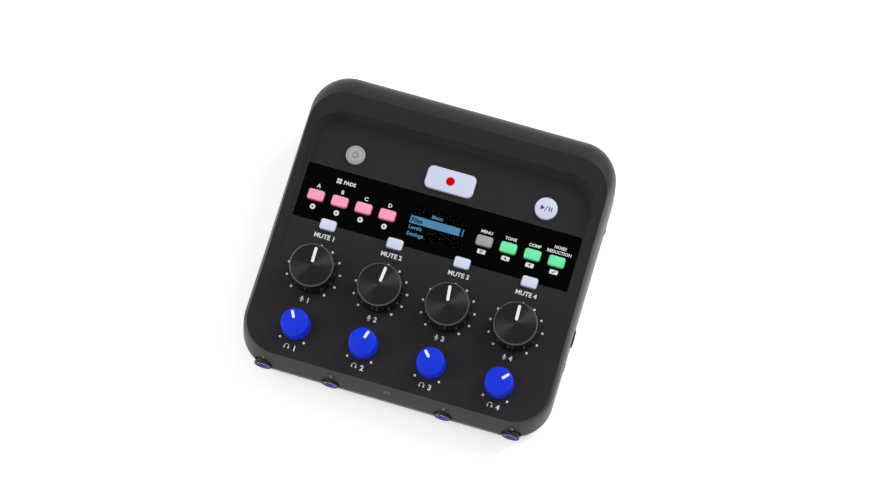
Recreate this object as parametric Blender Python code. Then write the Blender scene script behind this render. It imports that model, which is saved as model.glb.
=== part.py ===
"""Podcast recorder with four microphone channels and four headphone outputs.

Metres, +Z up, the front edge towards -Y. The origin lies on the table under the middle of the case.
The controls sit on a deck that slopes up to the rear: x runs to the right, y up the slope and h out of it.
"""

import math

import bmesh
import bpy
from mathutils import Matrix, Vector

# Fits
FIT = 0.0003
OVERRUN = 0.0020
SOLDER_DEPTH = 0.0004

# Case
CASE_WIDTH = 0.1606
CASE_DEPTH = 0.1520
HALF_WIDTH = CASE_WIDTH / 2
HALF_DEPTH = CASE_DEPTH / 2
CASE_CORNER = 0.0200
CASE_WALL = 0.0022
PARTING_HEIGHT = 0.0110
CASE_UNDERSIDE = 0.0016
FRONT_RUN = 0.0034
SIDE_RUN = 0.0025
REAR_RUN = 0.0129
TUCK_RUN = 0.0045
# Height of a ring above the parting line, then its share of the front, side and rear runs
UPPER_RING_SHARES = (
    (0, 0, 0, 0),
    (0.68, 0.64, 0.12, 0),
    (0.84, 0.81, 0.36, 0.24),
    (0.94, 0.93, 0.68, 0.58),
    (1, 1, 1, 1),
)
# Depth of a ring below the parting line, then its share of the tuck
LOWER_RING_SHARES = ((0, 0), (0.52, 0.12), (0.86, 0.48), (1, 1))

# Deck
DECK_SLOPE = math.radians(6.5)
RIM_RISE = math.radians(5)
DECK_WALL = 0.0025
SIDE_RIM = 0.0081
REAR_RIM = 0.0121
TUB_HALF_WIDTH = HALF_WIDTH - SIDE_RIM
TUB_CORNER = 0.0145
TUB_LEAN_SHARE = 0.5

# Rows on the deck, as shares of half the case's depth
# The microphone row is measured from the front crease, and the others from that row
MIC_ROW_SHARE = 0.5987
ROW_SHARES = (-0.3803, 0.1053, 0.3224, 0.4974, 0.5053, 0.8303)
MIC_ROW_FROM_FRONT = MIC_ROW_SHARE * HALF_DEPTH
ROWS = [share * HALF_DEPTH for share in ROW_SHARES]
PHONES_ROW, RIM_START, MUTE_ROW, PAD_ROW, FUNCTION_ROW, TRANSPORT_ROW = ROWS
TUB_REAR = (CASE_DEPTH - FRONT_RUN - REAR_RUN) / math.cos(DECK_SLOPE) - MIC_ROW_FROM_FRONT - REAR_RIM

# Columns on the deck, as shares of half the case's width
CHANNELS = (1, 2, 3, 4)
CHANNEL_PITCH_SHARE = 0.43587
PAD_SHARES = (-0.7846, -0.6289, -0.4732, -0.3176)
FUNCTION_SHARES = (0.3113, 0.4670, 0.6227, 0.7783)
SIDE_BUTTON_SHARE = 0.6227
CHANNEL_PITCH = CHANNEL_PITCH_SHARE * HALF_WIDTH
PAD_X = [share * HALF_WIDTH for share in PAD_SHARES]
FUNCTION_X = [share * HALF_WIDTH for share in FUNCTION_SHARES]
SIDE_BUTTON_X = SIDE_BUTTON_SHARE * HALF_WIDTH

# Microphone level knobs and their pots
MIC_KNOB_RADIUS = 0.0110
MIC_KNOB_BASE_RADIUS = 0.0118
MIC_KNOB_TOP = 0.0140
MIC_KNOB_EDGE = 0.0005
MIC_SHAFT_RADIUS = 0.0030
MIC_SHAFT_TOP = 0.0110
MIC_POT_SIZE = 0.0116
MIC_POT_HEIGHT = 0.0064

# Headphone level knobs and their pots
PHONES_KNOB_RADIUS = 0.0069
PHONES_KNOB_BASE_RADIUS = 0.0075
PHONES_KNOB_TOP = 0.0105
PHONES_KNOB_EDGE = 0.0006
PHONES_SHAFT_RADIUS = 0.0022
PHONES_SHAFT_TOP = 0.0080
PHONES_POT_SIZE = 0.0095
PHONES_POT_HEIGHT = 0.0050

# Both kinds of knob and pot
KNOB_LIFT = 0.0006
KNOB_WALL = 0.0014
KNOB_RECESS = 0.0032
BUSHING_WALL = 0.0008
BUSHING_TOP = -0.0003
POT_FLOOR = 0.0016
POT_CORNER = 0.0012
SHAFT_CHAMFER = 0.0004

# Keys: the pads on the left and the function keys on the right
KEY_LENGTH = 0.0084
KEY_WIDTH = 0.0055
KEY_CORNER = 0.0012
KEY_RISE = 0.0016
KEY_CROWN = 0.0004
MUTE_LENGTH = 0.0082
MUTE_WIDTH = 0.0056

# Transport buttons
POWER_RADIUS = 0.0050
PLAY_RADIUS = 0.0058
RECORD_LENGTH = 0.0253
RECORD_WIDTH = 0.0120
RECORD_CORNER = 0.0030
TRANSPORT_RISE = 0.0014

# What is under each button
FLANGE_SPREAD = 0.0008
FLANGE_THICKNESS = 0.0011
STEM_RADIUS = 0.0013
STEM_END = -0.0091
SWITCH_SIZE = 0.0060
SWITCH_HEIGHT = 0.0038
SWITCH_FLOOR = 0.0008

# Display band and display
BAND_SIDE_GAP = 0.0004
BAND_HALF_WIDTH = TUB_HALF_WIDTH - BAND_SIDE_GAP
BAND_EDGE_SHARES = (0.3289, 0.7105)
BAND_FRONT, BAND_REAR = [share * HALF_DEPTH for share in BAND_EDGE_SHARES]
BAND_CORNER = 0.0012
WINDOW_THICKNESS = 0.0010
SCREEN_CORNER = 0.0006
CARRIER_SPREAD = 0.0014
SCREEN_END_GAP = 0.00365
SCREEN_FRONT_GAP = 0.0007
SCREEN_REAR_MARGIN = 0.0072
SCREEN_TO_KEY = KEY_LENGTH / 2 + FLANGE_SPREAD + CARRIER_SPREAD + SCREEN_END_GAP
SCREEN_LEFT = PAD_X[-1] + SCREEN_TO_KEY
SCREEN_RIGHT = FUNCTION_X[0] - SCREEN_TO_KEY
SCREEN_FRONT = MUTE_ROW + MUTE_WIDTH / 2 + FLANGE_SPREAD + CARRIER_SPREAD + SCREEN_FRONT_GAP
SCREEN_REAR = BAND_REAR - SCREEN_REAR_MARGIN
SCREEN_X = (SCREEN_LEFT + SCREEN_RIGHT) / 2
SCREEN_Y = (SCREEN_FRONT + SCREEN_REAR) / 2
SCREEN_LENGTH = SCREEN_RIGHT - SCREEN_LEFT
SCREEN_WIDTH = SCREEN_REAR - SCREEN_FRONT
CARRIER_THICKNESS = 0.0016
CARRIER_LEG_RADIUS = 0.0012

# Panel board, parallel to the deck
BOARD_THICKNESS = 0.0016
BOARD_CORNER = 0.0020
PANEL_BOARD_TOP = -0.0110
PANEL_BOARD_SIDE_GAP = 0.0133
PANEL_BOARD_MARGIN = 0.0019
PANEL_BOARD_HALF_WIDTH = HALF_WIDTH - PANEL_BOARD_SIDE_GAP
PANEL_BOARD_FRONT = PHONES_ROW - PHONES_POT_SIZE / 2 - PANEL_BOARD_MARGIN / 2
PANEL_BOARD_REAR = TRANSPORT_ROW + SWITCH_SIZE / 2 + PANEL_BOARD_MARGIN
POST_RADIUS = 0.0025
# Shares of half the case's width and of half its depth
DECK_POST_SHARES = ((-0.797, -0.184), (0, -0.184), (0.797, -0.184), (-0.423, 0.816), (0.423, 0.816))

# Lower boards, level
JACK_BOARD_SIDE_GAP = 0.0223
JACK_BOARD_HALF_WIDTH = HALF_WIDTH - JACK_BOARD_SIDE_GAP
JACK_BOARD_SHARES = (-0.5526, -0.1316, -0.1053)
JACK_WING_FRONT, JACK_WING_REAR, JACK_BOARD_REAR = [share * HALF_DEPTH for share in JACK_BOARD_SHARES]
REAR_BOARD_BOTTOM = 0.0050
REAR_BOARD_SIDE_GAP = 0.0143
REAR_BOARD_REAR_GAP = 0.0060
REAR_BOARD_WIDTH = 0.0300
REAR_WING_WIDTH = 0.0090
REAR_BOARD_HALF_WIDTH = HALF_WIDTH - REAR_BOARD_SIDE_GAP
REAR_BOARD_REAR = HALF_DEPTH - REAR_BOARD_REAR_GAP
REAR_BOARD_FRONT = REAR_BOARD_REAR - REAR_BOARD_WIDTH
REAR_WING_REAR = REAR_BOARD_FRONT + REAR_WING_WIDTH

# 3.5 mm jacks on the parting line
OUTER_JACK_INSET = 0.0159
INNER_JACK_SHARE = 0.3636
OUTER_JACK_X = HALF_WIDTH - OUTER_JACK_INSET
INNER_JACK_X = INNER_JACK_SHARE * HALF_WIDTH
FRONT_JACK_X = (-OUTER_JACK_X, -INNER_JACK_X, INNER_JACK_X, OUTER_JACK_X)
SIDE_ROW_SHARES = (-0.2421, -0.4342)
REAR_SIDE_ROW, FRONT_SIDE_ROW = [share * HALF_DEPTH for share in SIDE_ROW_SHARES]
SIDE_JACK_Y = REAR_SIDE_ROW
BEZEL_RADIUS = 0.0046
BEZEL_PROUD = 0.0006
BEZEL_THICKNESS = 0.0016
BARREL_RADIUS = 0.0039
BARREL_LENGTH = 0.0052
JACK_BODY_WIDTH = 0.0064
JACK_BODY_HEIGHT = 0.0054
JACK_BODY_LENGTH = 0.0086
RING_RADIUS = 0.0034
RING_DEPTH = 0.0007
JACK_BORE_RADIUS = 0.00185
JACK_BORE_DEPTH = 0.0120
JACK_CORNER = 0.0006
JACK_BOARD_BOTTOM = PARTING_HEIGHT - JACK_BODY_HEIGHT / 2 - FIT - BOARD_THICKNESS

# Slide switches on the right-hand side
SLIDER_PROUD = 0.0007
SLIDER_HEIGHT = 0.0020
SLIDER_PLATE_HEIGHT = 0.0038
SLIDER_PLATE_SPREAD = 0.0010
SLIDER_CORNER = 0.0005
SLIDER_BODY_DEPTH = 0.0050
SLIDER_BODY_HEIGHT = 0.0056
CALL_SWITCH_Y = FRONT_SIDE_ROW
CALL_SLIDER_LENGTH = 0.0050
CALL_SLIDER_TRAVEL = 0.0020
MODE_SWITCH_LEAD = 0.0027
MODE_SWITCH_Y = REAR_BOARD_FRONT + MODE_SWITCH_LEAD
MODE_SLIDER_LENGTH = 0.0030
MODE_SLIDER_TRAVEL = 0.0025

# USB port and memory card socket on the left-hand side
USB_Y = REAR_SIDE_ROW
USB_WIDTH = 0.0089
USB_HEIGHT = 0.0032
USB_LENGTH = 0.0074
USB_WALL = 0.0004
USB_TONGUE_WIDTH = 0.0062
USB_TONGUE_HEIGHT = 0.0007
USB_MOUTH_DEPTH = 0.0062
CARD_Y = FRONT_SIDE_ROW
CARD_SOCKET_WIDTH = 0.0140
CARD_SOCKET_HEIGHT = 0.0018
CARD_SOCKET_LENGTH = 0.0150
CARD_SLOT_WIDTH = 0.0114
CARD_SLOT_HEIGHT = 0.0010
CARD_SLOT_DEPTH = 0.0120
SIDE_SETBACK = 0.0008

# Microphone sockets in the rear wall
SOCKET_LIFT = 0.0019
SOCKET_HEADROOM = 0.0009
SOCKET_RADIUS = 0.0109
SOCKET_HEIGHT = PARTING_HEIGHT + SOCKET_LIFT + SOCKET_RADIUS
SOCKET_LENGTH = 0.0240
SOCKET_RIM = 0.0012
SOCKET_GROOVE = 0.0018
SOCKET_GROOVE_DEPTH = 0.0125
SOCKET_FACE_SETBACK = 0.0008
PIN_HOLE_RADIUS = 0.0013
PIN_CIRCLE_RADIUS = 0.0043
PIN_HOLE_DEPTH = 0.0105
SOCKET_BLOCK_HALF_WIDTH = 0.0085
SOCKET_BLOCK_LENGTH = 0.0090

# Battery bay: two cells end to end, across the case
CELL_RADIUS = 0.0072
CELL_LENGTH = 0.0492
NUB_RADIUS = 0.0027
NUB_LENGTH = 0.0013
CONTACT_THICKNESS = 0.0004
CONTACT_HALF_WIDTH = 0.0060
CONTACT_HALF_HEIGHT = 0.0055
SPRING_RADIUS = 0.0038
SPRING_END_RADIUS = 0.0024
SPRING_LENGTH = 0.0022
DIMPLE_LENGTH = 0.0006
BAY_TO_REAR_BOARD = 0.0150
BAY_CENTRE_Y = REAR_BOARD_FRONT - BAY_TO_REAR_BOARD
BAY_WALL = 0.0015
BAY_HEADROOM = 0.00128
DOOR_THICKNESS = 0.0020
DOOR_LEDGE = 0.0022
DOOR_PIN_LENGTH = 0.0020
DOOR_PIN_RADIUS = 0.0008
DOOR_GRIP_WIDTH = 0.0120
DOOR_GRIP_LENGTH = 0.0030
DOOR_GRIP_DEPTH = 0.0008

# Screw bosses, board posts and feet
BOSS_SIDE_INSET = 0.0088
BOSS_FRONT_INSET = 0.0240
BOSS_REAR_INSET = 0.0200
BOSS_X = HALF_WIDTH - BOSS_SIDE_INSET
BOSS_Y = (BOSS_FRONT_INSET - HALF_DEPTH, HALF_DEPTH - BOSS_REAR_INSET)
BOSS_RADIUS = 0.0034
SCREW_HOLE_RADIUS = 0.0016
SCREW_HEAD_RADIUS = 0.0027
SCREW_HEAD_DEPTH = 0.0018
PILOT_RADIUS = 0.0012
PILOT_DEPTH = 0.0080
FOOT_SIDE_INSET = 0.0193
FOOT_END_INSET = 0.0180
FOOT_X = HALF_WIDTH - FOOT_SIDE_INSET
FOOT_Y = HALF_DEPTH - FOOT_END_INSET
FOOT_RADIUS = 0.0065
FOOT_THICKNESS = 0.0021
FOOT_CHAMFER = 0.0005
# Shares of half the case's width and of half its depth, then places on the rear board
FRONT_FLOOR_POST_SHARES = ((0.598, -0.737), (0.598, -0.211))
REAR_FLOOR_POST_SHARES = ((0.324, 0.133), (0.772, 0.267))

# Facets round a circle, and points along a quarter turn
KNOB_STEPS = 24
ROUND_STEPS = 20
JACK_STEPS = 16
SMALL_STEPS = 12
POST_STEPS = 8
CASE_CORNER_STEPS = 5
TUB_CORNER_STEPS = 6
KEY_CORNER_STEPS = 1
ROUND_CORNER_STEPS = 4

# Colours in linear light, roughness and metallic value
PLASTIC_BLACK = ((0.026, 0.025, 0.028), 0.55, 0)
GLOSS_BLACK = ((0.003, 0.003, 0.004), 0.08, 0)
KNOB_BLACK = ((0.012, 0.012, 0.013), 0.35, 0)
BLUE = ((0.020, 0.050, 0.750), 0.35, 0)
WHITE_BLUE = ((0.70, 0.70, 0.83), 0.40, 0)
GREY = ((0.41, 0.41, 0.41), 0.45, 0)
PINK = ((0.95, 0.38, 0.56), 0.40, 0)
GREEN = ((0.19, 0.80, 0.38), 0.40, 0)
BOARD_GREEN = ((0.020, 0.110, 0.040), 0.50, 0)
STEEL = ((0.60, 0.60, 0.62), 0.30, 1)
SCREEN_BLUE = ((0.030, 0.045, 0.060), 0.12, 0)
RUBBER = ((0.015, 0.015, 0.015), 0.85, 0)
CELL_GREY = ((0.25, 0.26, 0.28), 0.40, 0)

for leftover in list(bpy.data.objects):
    bpy.data.objects.remove(leftover)

materials = {}


def material(look):
    """One Principled material for each look."""
    if look not in materials:
        colour, roughness, metallic = look
        made = bpy.data.materials.new("finish")
        made.use_nodes = True
        shader = made.node_tree.nodes["Principled BSDF"]
        shader.inputs["Base Color"].default_value = (*colour, 1)
        shader.inputs["Roughness"].default_value = roughness
        shader.inputs["Metallic"].default_value = metallic
        made.diffuse_color = (*colour, 1)
        materials[look] = made
    return materials[look]


# Outlines, anticlockwise seen from above


def arc(centre_x, centre_y, radius, start, sweep, steps):
    """Points along an arc, both ends included."""
    angles = [start + sweep * step / steps for step in range(steps + 1)]
    return [(centre_x + radius * math.cos(a), centre_y + radius * math.sin(a)) for a in angles]


def circle(radius, steps=ROUND_STEPS):
    """A circle whose points are turned like those of a rounded rectangle."""
    turn = math.tau / steps
    return [(radius * math.cos(turn * (i + 0.5)), radius * math.sin(turn * (i + 0.5))) for i in range(steps)]


def around(radius, steps):
    """A polygon that a circle of this radius fits in."""
    return circle(radius / math.cos(math.pi / steps), steps)


def rounded(half_x, half_y, radius, steps=KEY_CORNER_STEPS, centre=(0, 0)):
    """A rectangle with round corners."""
    points = []
    for index, (side_x, side_y) in enumerate(((1, 1), (-1, 1), (-1, -1), (1, -1))):
        corner_x = centre[0] + side_x * (half_x - radius)
        corner_y = centre[1] + side_y * (half_y - radius)
        points += arc(corner_x, corner_y, radius, index * math.pi / 2, math.pi / 2, steps)
    return points


def level(outline, height):
    return [(x, y, height) for x, y in outline]


# Solids


def loft(rings):
    """A solid through rings that have the same number of points."""
    mesh = bmesh.new()
    rows = [[mesh.verts.new(point) for point in ring] for ring in rings]
    for below, above in zip(rows, rows[1:]):
        for i in range(len(below)):
            mesh.faces.new((below[i - 1], below[i], above[i], above[i - 1]))
    mesh.faces.new(rows[0])
    mesh.faces.new(rows[-1])
    bmesh.ops.recalc_face_normals(mesh, faces=mesh.faces)
    return mesh


def prism(outline, bottom, top):
    return loft([level(outline, bottom), level(outline, top)])


def turned(profile, steps=ROUND_STEPS):
    """A solid of revolution from (radius, height) pairs, closed by a disc at each end."""
    return loft([level(circle(radius, steps), height) for radius, height in profile])


def moved(mesh, offset=(0, 0, 0), turn=0, axis="Z"):
    """The solid turned about an axis through its origin, then shifted."""
    matrix = Matrix.Translation(offset) @ Matrix.Rotation(turn, 4, axis)
    bmesh.ops.transform(mesh, matrix=matrix, verts=mesh.verts)
    return mesh


def gathered(meshes):
    """Several solids in one mesh, which stay apart."""
    whole = bmesh.new()
    for mesh in meshes:
        data = bpy.data.meshes.new("gathered")
        mesh.to_mesh(data)
        mesh.free()
        whole.from_mesh(data)
        bpy.data.meshes.remove(data)
    return whole


# Objects


def place(name, mesh, look, location=(0, 0, 0), parent=None, rotation=(0, 0, 0)):
    """An object from a solid, shaded smooth over its round faces."""
    data = bpy.data.meshes.new(name)
    mesh.to_mesh(data)
    mesh.free()
    data.shade_smooth()
    data.set_sharp_from_angle(angle=math.radians(35))
    data.materials.append(material(look))
    piece = bpy.data.objects.new(name, data)
    bpy.context.scene.collection.objects.link(piece)
    piece.location = location
    piece.rotation_euler = rotation
    piece.parent = parent
    return piece


def combine(piece, operation, name, mesh, location=(0, 0, 0), parent=None, rotation=(0, 0, 0)):
    """Cuts a hidden solid from the piece, or fuses it on."""
    helper = place(f"{name}_helper", mesh, PLASTIC_BLACK, location, parent, rotation)
    helper.hide_render = True
    helper.display_type = "WIRE"
    boolean = piece.modifiers.new(name, "BOOLEAN")
    boolean.operation = operation
    boolean.object = helper
    boolean.solver = "EXACT"


# The case's planes and outlines


def bay_half_width():
    return CELL_RADIUS + 2 * FIT


def cell_height():
    """Middle of the cells, just above the door."""
    return CASE_UNDERSIDE + DOOR_THICKNESS + FIT + CELL_RADIUS


def bay_ceiling():
    return cell_height() + CELL_RADIUS + FIT


def deck_front_height():
    """Height of the front crease that leaves room over the battery bay and over the sockets."""
    bay_front = BAY_CENTRE_Y - bay_half_width() - BAY_WALL
    bay_top = bay_ceiling() + BAY_WALL + BAY_HEADROOM
    socket_top = SOCKET_HEIGHT + SOCKET_RADIUS + SOCKET_HEADROOM
    stacks = []
    for y, top, layers in (
        (bay_front, bay_top, BOARD_THICKNESS - PANEL_BOARD_TOP),
        (HALF_DEPTH - SOCKET_LENGTH, socket_top, DECK_WALL),
    ):
        rise = (y + HALF_DEPTH - FRONT_RUN) * math.tan(DECK_SLOPE)
        stacks.append(top + layers / math.cos(DECK_SLOPE) - rise)
    return max(stacks)


deck = bpy.data.objects.new("deck_frame", None)
bpy.context.scene.collection.objects.link(deck)
deck.location = (
    0,
    FRONT_RUN - HALF_DEPTH + MIC_ROW_FROM_FRONT * math.cos(DECK_SLOPE),
    deck_front_height() + MIC_ROW_FROM_FRONT * math.sin(DECK_SLOPE),
)
deck.rotation_euler = (DECK_SLOPE, 0, 0)
deck_matrix = Matrix.Translation(deck.location) @ Matrix.Rotation(DECK_SLOPE, 4, "X")


def deck_point(x, y, height):
    """A place on the deck in the case's own axes."""
    return deck_matrix @ Vector((x, y, height))


def deck_height(y, drop):
    """Height of the deck's plane, or of one that lies this far under it."""
    under = deck_point(0, 0, -drop)
    return under.z + (y - under.y) * math.tan(DECK_SLOPE)


def top_height(y):
    """Height of the deck in front of the fold, and of the rim behind it."""
    fold = deck_point(0, RIM_START, 0)
    slope = DECK_SLOPE + (RIM_RISE if y > fold.y else 0)
    return fold.z + (y - fold.y) * math.tan(slope)


def case_outline(front_run, side_run, rear_run, inset, fold):
    """The case in plan: the right end of the fold, the rear, the left end of the fold, the front."""
    half = HALF_WIDTH - side_run - inset
    front = -HALF_DEPTH + front_run + inset
    rear = HALF_DEPTH - rear_run - inset
    radius = CASE_CORNER - side_run - inset
    quarter = math.pi / 2
    points = [(half, fold)]
    points += arc(half - radius, rear - radius, radius, 0, quarter, CASE_CORNER_STEPS)
    points += arc(radius - half, rear - radius, radius, quarter, quarter, CASE_CORNER_STEPS)
    points += [(-half, fold)]
    points += arc(radius - half, front + radius, radius, 2 * quarter, quarter, CASE_CORNER_STEPS)
    points += arc(half - radius, front + radius, radius, 3 * quarter, quarter, CASE_CORNER_STEPS)
    return points


def tub_edges():
    """The sunk floor's outline and the wall's upper edge on the rim, from right to left round the rear."""
    middle_x = TUB_HALF_WIDTH - TUB_CORNER
    middle_y = TUB_REAR - TUB_CORNER
    quarter = math.pi / 2
    turns = [quarter * step / TUB_CORNER_STEPS for step in range(TUB_CORNER_STEPS + 1)]
    places = [(TUB_HALF_WIDTH, RIM_START, 0)]
    for side, first in ((1, 0), (-1, quarter)):
        for turn in turns:
            facing = first + turn
            x = side * middle_x + TUB_CORNER * math.cos(facing)
            places.append((x, middle_y + TUB_CORNER * math.sin(facing), facing))
    places += [(-TUB_HALF_WIDTH, RIM_START, math.pi)]
    floor, edge = [], []
    for x, y, facing in places:
        rise = (y - RIM_START) * math.tan(RIM_RISE)
        depth = rise / (1 - TUB_LEAN_SHARE * math.sin(facing) * math.tan(RIM_RISE))
        lean = TUB_LEAN_SHARE * depth
        floor.append(deck_point(x, y, 0))
        edge.append(deck_point(x + lean * math.cos(facing), y + lean * math.sin(facing), depth))
    return floor, edge


def upper_rings(inset, rear_run, bottom, top):
    """Rings of the upper case's walls, from the parting line up to where they meet the top."""
    fold = deck_point(0, RIM_START, 0).y
    crease = case_outline(FRONT_RUN, SIDE_RUN, rear_run, inset, fold)
    rings = []
    for height_share, front_share, side_share, rear_share in UPPER_RING_SHARES:
        runs = (front_share * FRONT_RUN, side_share * SIDE_RUN, rear_share * rear_run)
        outline = case_outline(*runs, inset, fold)
        ring = []
        for (x, y), (_, crease_y) in zip(outline, crease):
            height = PARTING_HEIGHT + height_share * (top(crease_y) - PARTING_HEIGHT)
            ring.append((x, y, height if height_share else bottom))
        rings.append(ring)
    return rings


def upper_solid():
    """The upper case before it is hollowed: walls, shoulder, rim and the deck sunk into it."""
    mesh = bmesh.new()
    rings = upper_rings(0, REAR_RUN, PARTING_HEIGHT + FIT / 2, top_height)
    rows = [[mesh.verts.new(point) for point in ring] for ring in rings]
    for below, above in zip(rows, rows[1:]):
        for i in range(len(below)):
            mesh.faces.new((below[i - 1], below[i], above[i], above[i - 1]))
    mesh.faces.new(rows[0])
    floor_points, edge_points = tub_edges()
    floor = [mesh.verts.new(point) for point in floor_points]
    edge = [floor[0]] + [mesh.verts.new(point) for point in edge_points[1:-1]] + [floor[-1]]
    for i in range(len(floor) - 1):
        corners = [floor[i], floor[i + 1], edge[i + 1], edge[i]]
        mesh.faces.new(list(dict.fromkeys(corners)))
    crease = rows[-1]
    left_fold = 2 * CASE_CORNER_STEPS + 3
    mesh.faces.new(crease[: left_fold + 1] + edge[::-1])
    mesh.faces.new(crease[left_fold:] + crease[:1] + floor)
    bmesh.ops.recalc_face_normals(mesh, faces=mesh.faces)
    return mesh


def upper_hollow():
    """The space inside the upper case, up to the deck's underside."""
    rings = upper_rings(CASE_WALL, CASE_WALL, PARTING_HEIGHT - OVERRUN, lambda y: deck_height(y, DECK_WALL))
    return loft([rings[0], rings[1], rings[-1]])


def lower_solid(inset, bottom, top):
    """The lower case, tucked in towards the table."""
    rings = []
    for depth_share, tuck_share in LOWER_RING_SHARES:
        run = tuck_share * TUCK_RUN
        height = PARTING_HEIGHT + depth_share * (bottom - PARTING_HEIGHT)
        rings.append(level(case_outline(run, run, run, inset, 0), height if depth_share else top))
    return loft(rings)


def channel_x(channel):
    return (channel - (len(CHANNELS) + 1) / 2) * CHANNEL_PITCH


# Buttons and keys


def button_list():
    """Name, place on the deck, length, width, corner radius, rise and look of each button."""
    found = []
    for channel, x in zip(CHANNELS, PAD_X):
        found.append((f"pad_button_{channel}", x, PAD_ROW, KEY_LENGTH, KEY_WIDTH, KEY_CORNER, KEY_RISE, PINK))
    names = ("menu_key", "tone_key", "compressor_key", "noise_key")
    for name, x in zip(names, FUNCTION_X):
        look = GREY if name == "menu_key" else GREEN
        found.append((name, x, FUNCTION_ROW, KEY_LENGTH, KEY_WIDTH, KEY_CORNER, KEY_RISE, look))
    mute = (MUTE_ROW, MUTE_LENGTH, MUTE_WIDTH, KEY_CORNER, KEY_RISE, WHITE_BLUE)
    for channel in CHANNELS:
        found.append((f"mute_button_{channel}", channel_x(channel), *mute))
    for name, x, radius, look in (
        ("power_button", -SIDE_BUTTON_X, POWER_RADIUS, GREY),
        ("play_button", SIDE_BUTTON_X, PLAY_RADIUS, WHITE_BLUE),
    ):
        found.append((name, x, TRANSPORT_ROW, 2 * radius, 2 * radius, radius, TRANSPORT_RISE, look))
    record = (RECORD_LENGTH, RECORD_WIDTH, RECORD_CORNER, TRANSPORT_RISE, WHITE_BLUE)
    found.append(("record_button", 0, TRANSPORT_ROW, *record))
    return found


buttons = button_list()


def button_steps(corner):
    """A large corner takes more points than a key's."""
    return ROUND_CORNER_STEPS if corner >= RECORD_CORNER else KEY_CORNER_STEPS


def button_outline(length, width, corner, spread):
    return rounded(length / 2 + spread, width / 2 + spread, corner + spread, button_steps(corner))


def make_buttons():
    """Caps with a flange under the deck and a stem that reaches into the switch."""
    flange_top = -DECK_WALL - FIT
    flange_bottom = flange_top - FLANGE_THICKNESS
    for name, x, y, length, width, corner, rise, look in buttons:
        wide = button_outline(length, width, corner, FLANGE_SPREAD)
        cap = button_outline(length, width, corner, 0)
        crown = button_outline(length, width, corner, -KEY_CROWN)
        stem = circle(STEM_RADIUS, len(cap))
        mesh = loft([
            level(stem, STEM_END),
            level(stem, flange_bottom),
            level(wide, flange_bottom),
            level(wide, flange_top),
            level(cap, flange_top),
            level(cap, rise - KEY_CROWN),
            level(crown, rise),
        ])
        place(name, mesh, look, (x, y, 0), deck)


# Knobs on their shafts


def knob_mesh(radius, base_radius, top, edge, shaft_radius, shaft_top, steps):
    """A knob with a recess under its skirt and a bore that takes the shaft."""
    bore = shaft_radius + FIT
    return turned([
        (bore, shaft_top + FIT),
        (bore, KNOB_RECESS),
        (radius - KNOB_WALL, KNOB_RECESS),
        (base_radius - KNOB_WALL, KNOB_LIFT),
        (base_radius, KNOB_LIFT),
        (radius, top - edge),
        (radius - edge, top),
    ], steps)


def shaft_mesh(radius, top):
    """A pot's shaft, from just above the pot's floor."""
    bottom = PANEL_BOARD_TOP + POT_FLOOR + FIT
    profile = [(radius, bottom), (radius, top - SHAFT_CHAMFER), (radius - SHAFT_CHAMFER, top)]
    return turned(profile, POST_STEPS)


def make_knobs():
    mic = (
        MIC_KNOB_RADIUS,
        MIC_KNOB_BASE_RADIUS,
        MIC_KNOB_TOP,
        MIC_KNOB_EDGE,
        MIC_SHAFT_RADIUS,
        MIC_SHAFT_TOP,
    )
    phones = (
        PHONES_KNOB_RADIUS,
        PHONES_KNOB_BASE_RADIUS,
        PHONES_KNOB_TOP,
        PHONES_KNOB_EDGE,
        PHONES_SHAFT_RADIUS,
        PHONES_SHAFT_TOP,
    )
    for channel in CHANNELS:
        x = channel_x(channel)
        place(f"mic_knob_{channel}", knob_mesh(*mic, KNOB_STEPS), KNOB_BLACK, (x, 0, 0), deck)
        shaft = shaft_mesh(MIC_SHAFT_RADIUS, MIC_SHAFT_TOP)
        place(f"mic_shaft_{channel}", shaft, STEEL, (x, 0, 0), deck)
        place(f"phones_knob_{channel}", knob_mesh(*phones, JACK_STEPS), BLUE, (x, PHONES_ROW, 0), deck)
        shaft = shaft_mesh(PHONES_SHAFT_RADIUS, PHONES_SHAFT_TOP)
        place(f"phones_shaft_{channel}", shaft, STEEL, (x, PHONES_ROW, 0), deck)


# The board under the deck, with what is soldered to it


def pot_mesh(size, height, shaft_radius):
    """A square pot with a round bushing, open for its shaft."""
    square = rounded(size / 2, size / 2, POT_CORNER, 1)
    top = PANEL_BOARD_TOP + height
    bore = around(shaft_radius + FIT, len(square))
    bushing = around(shaft_radius + FIT + BUSHING_WALL, len(square))
    return loft([
        level(square, PANEL_BOARD_TOP - SOLDER_DEPTH),
        level(square, top),
        level(bushing, top),
        level(bushing, BUSHING_TOP),
        level(bore, BUSHING_TOP),
        level(bore, PANEL_BOARD_TOP + POT_FLOOR),
    ])


def switch_mesh():
    """A tact switch, open for the button's stem."""
    square = around(SWITCH_SIZE / 2, 4)
    hole = around(STEM_RADIUS + FIT, 4)
    top = PANEL_BOARD_TOP + SWITCH_HEIGHT
    return loft([
        level(square, PANEL_BOARD_TOP - SOLDER_DEPTH),
        level(square, top),
        level(hole, top),
        level(hole, PANEL_BOARD_TOP + SWITCH_FLOOR),
    ])


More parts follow.
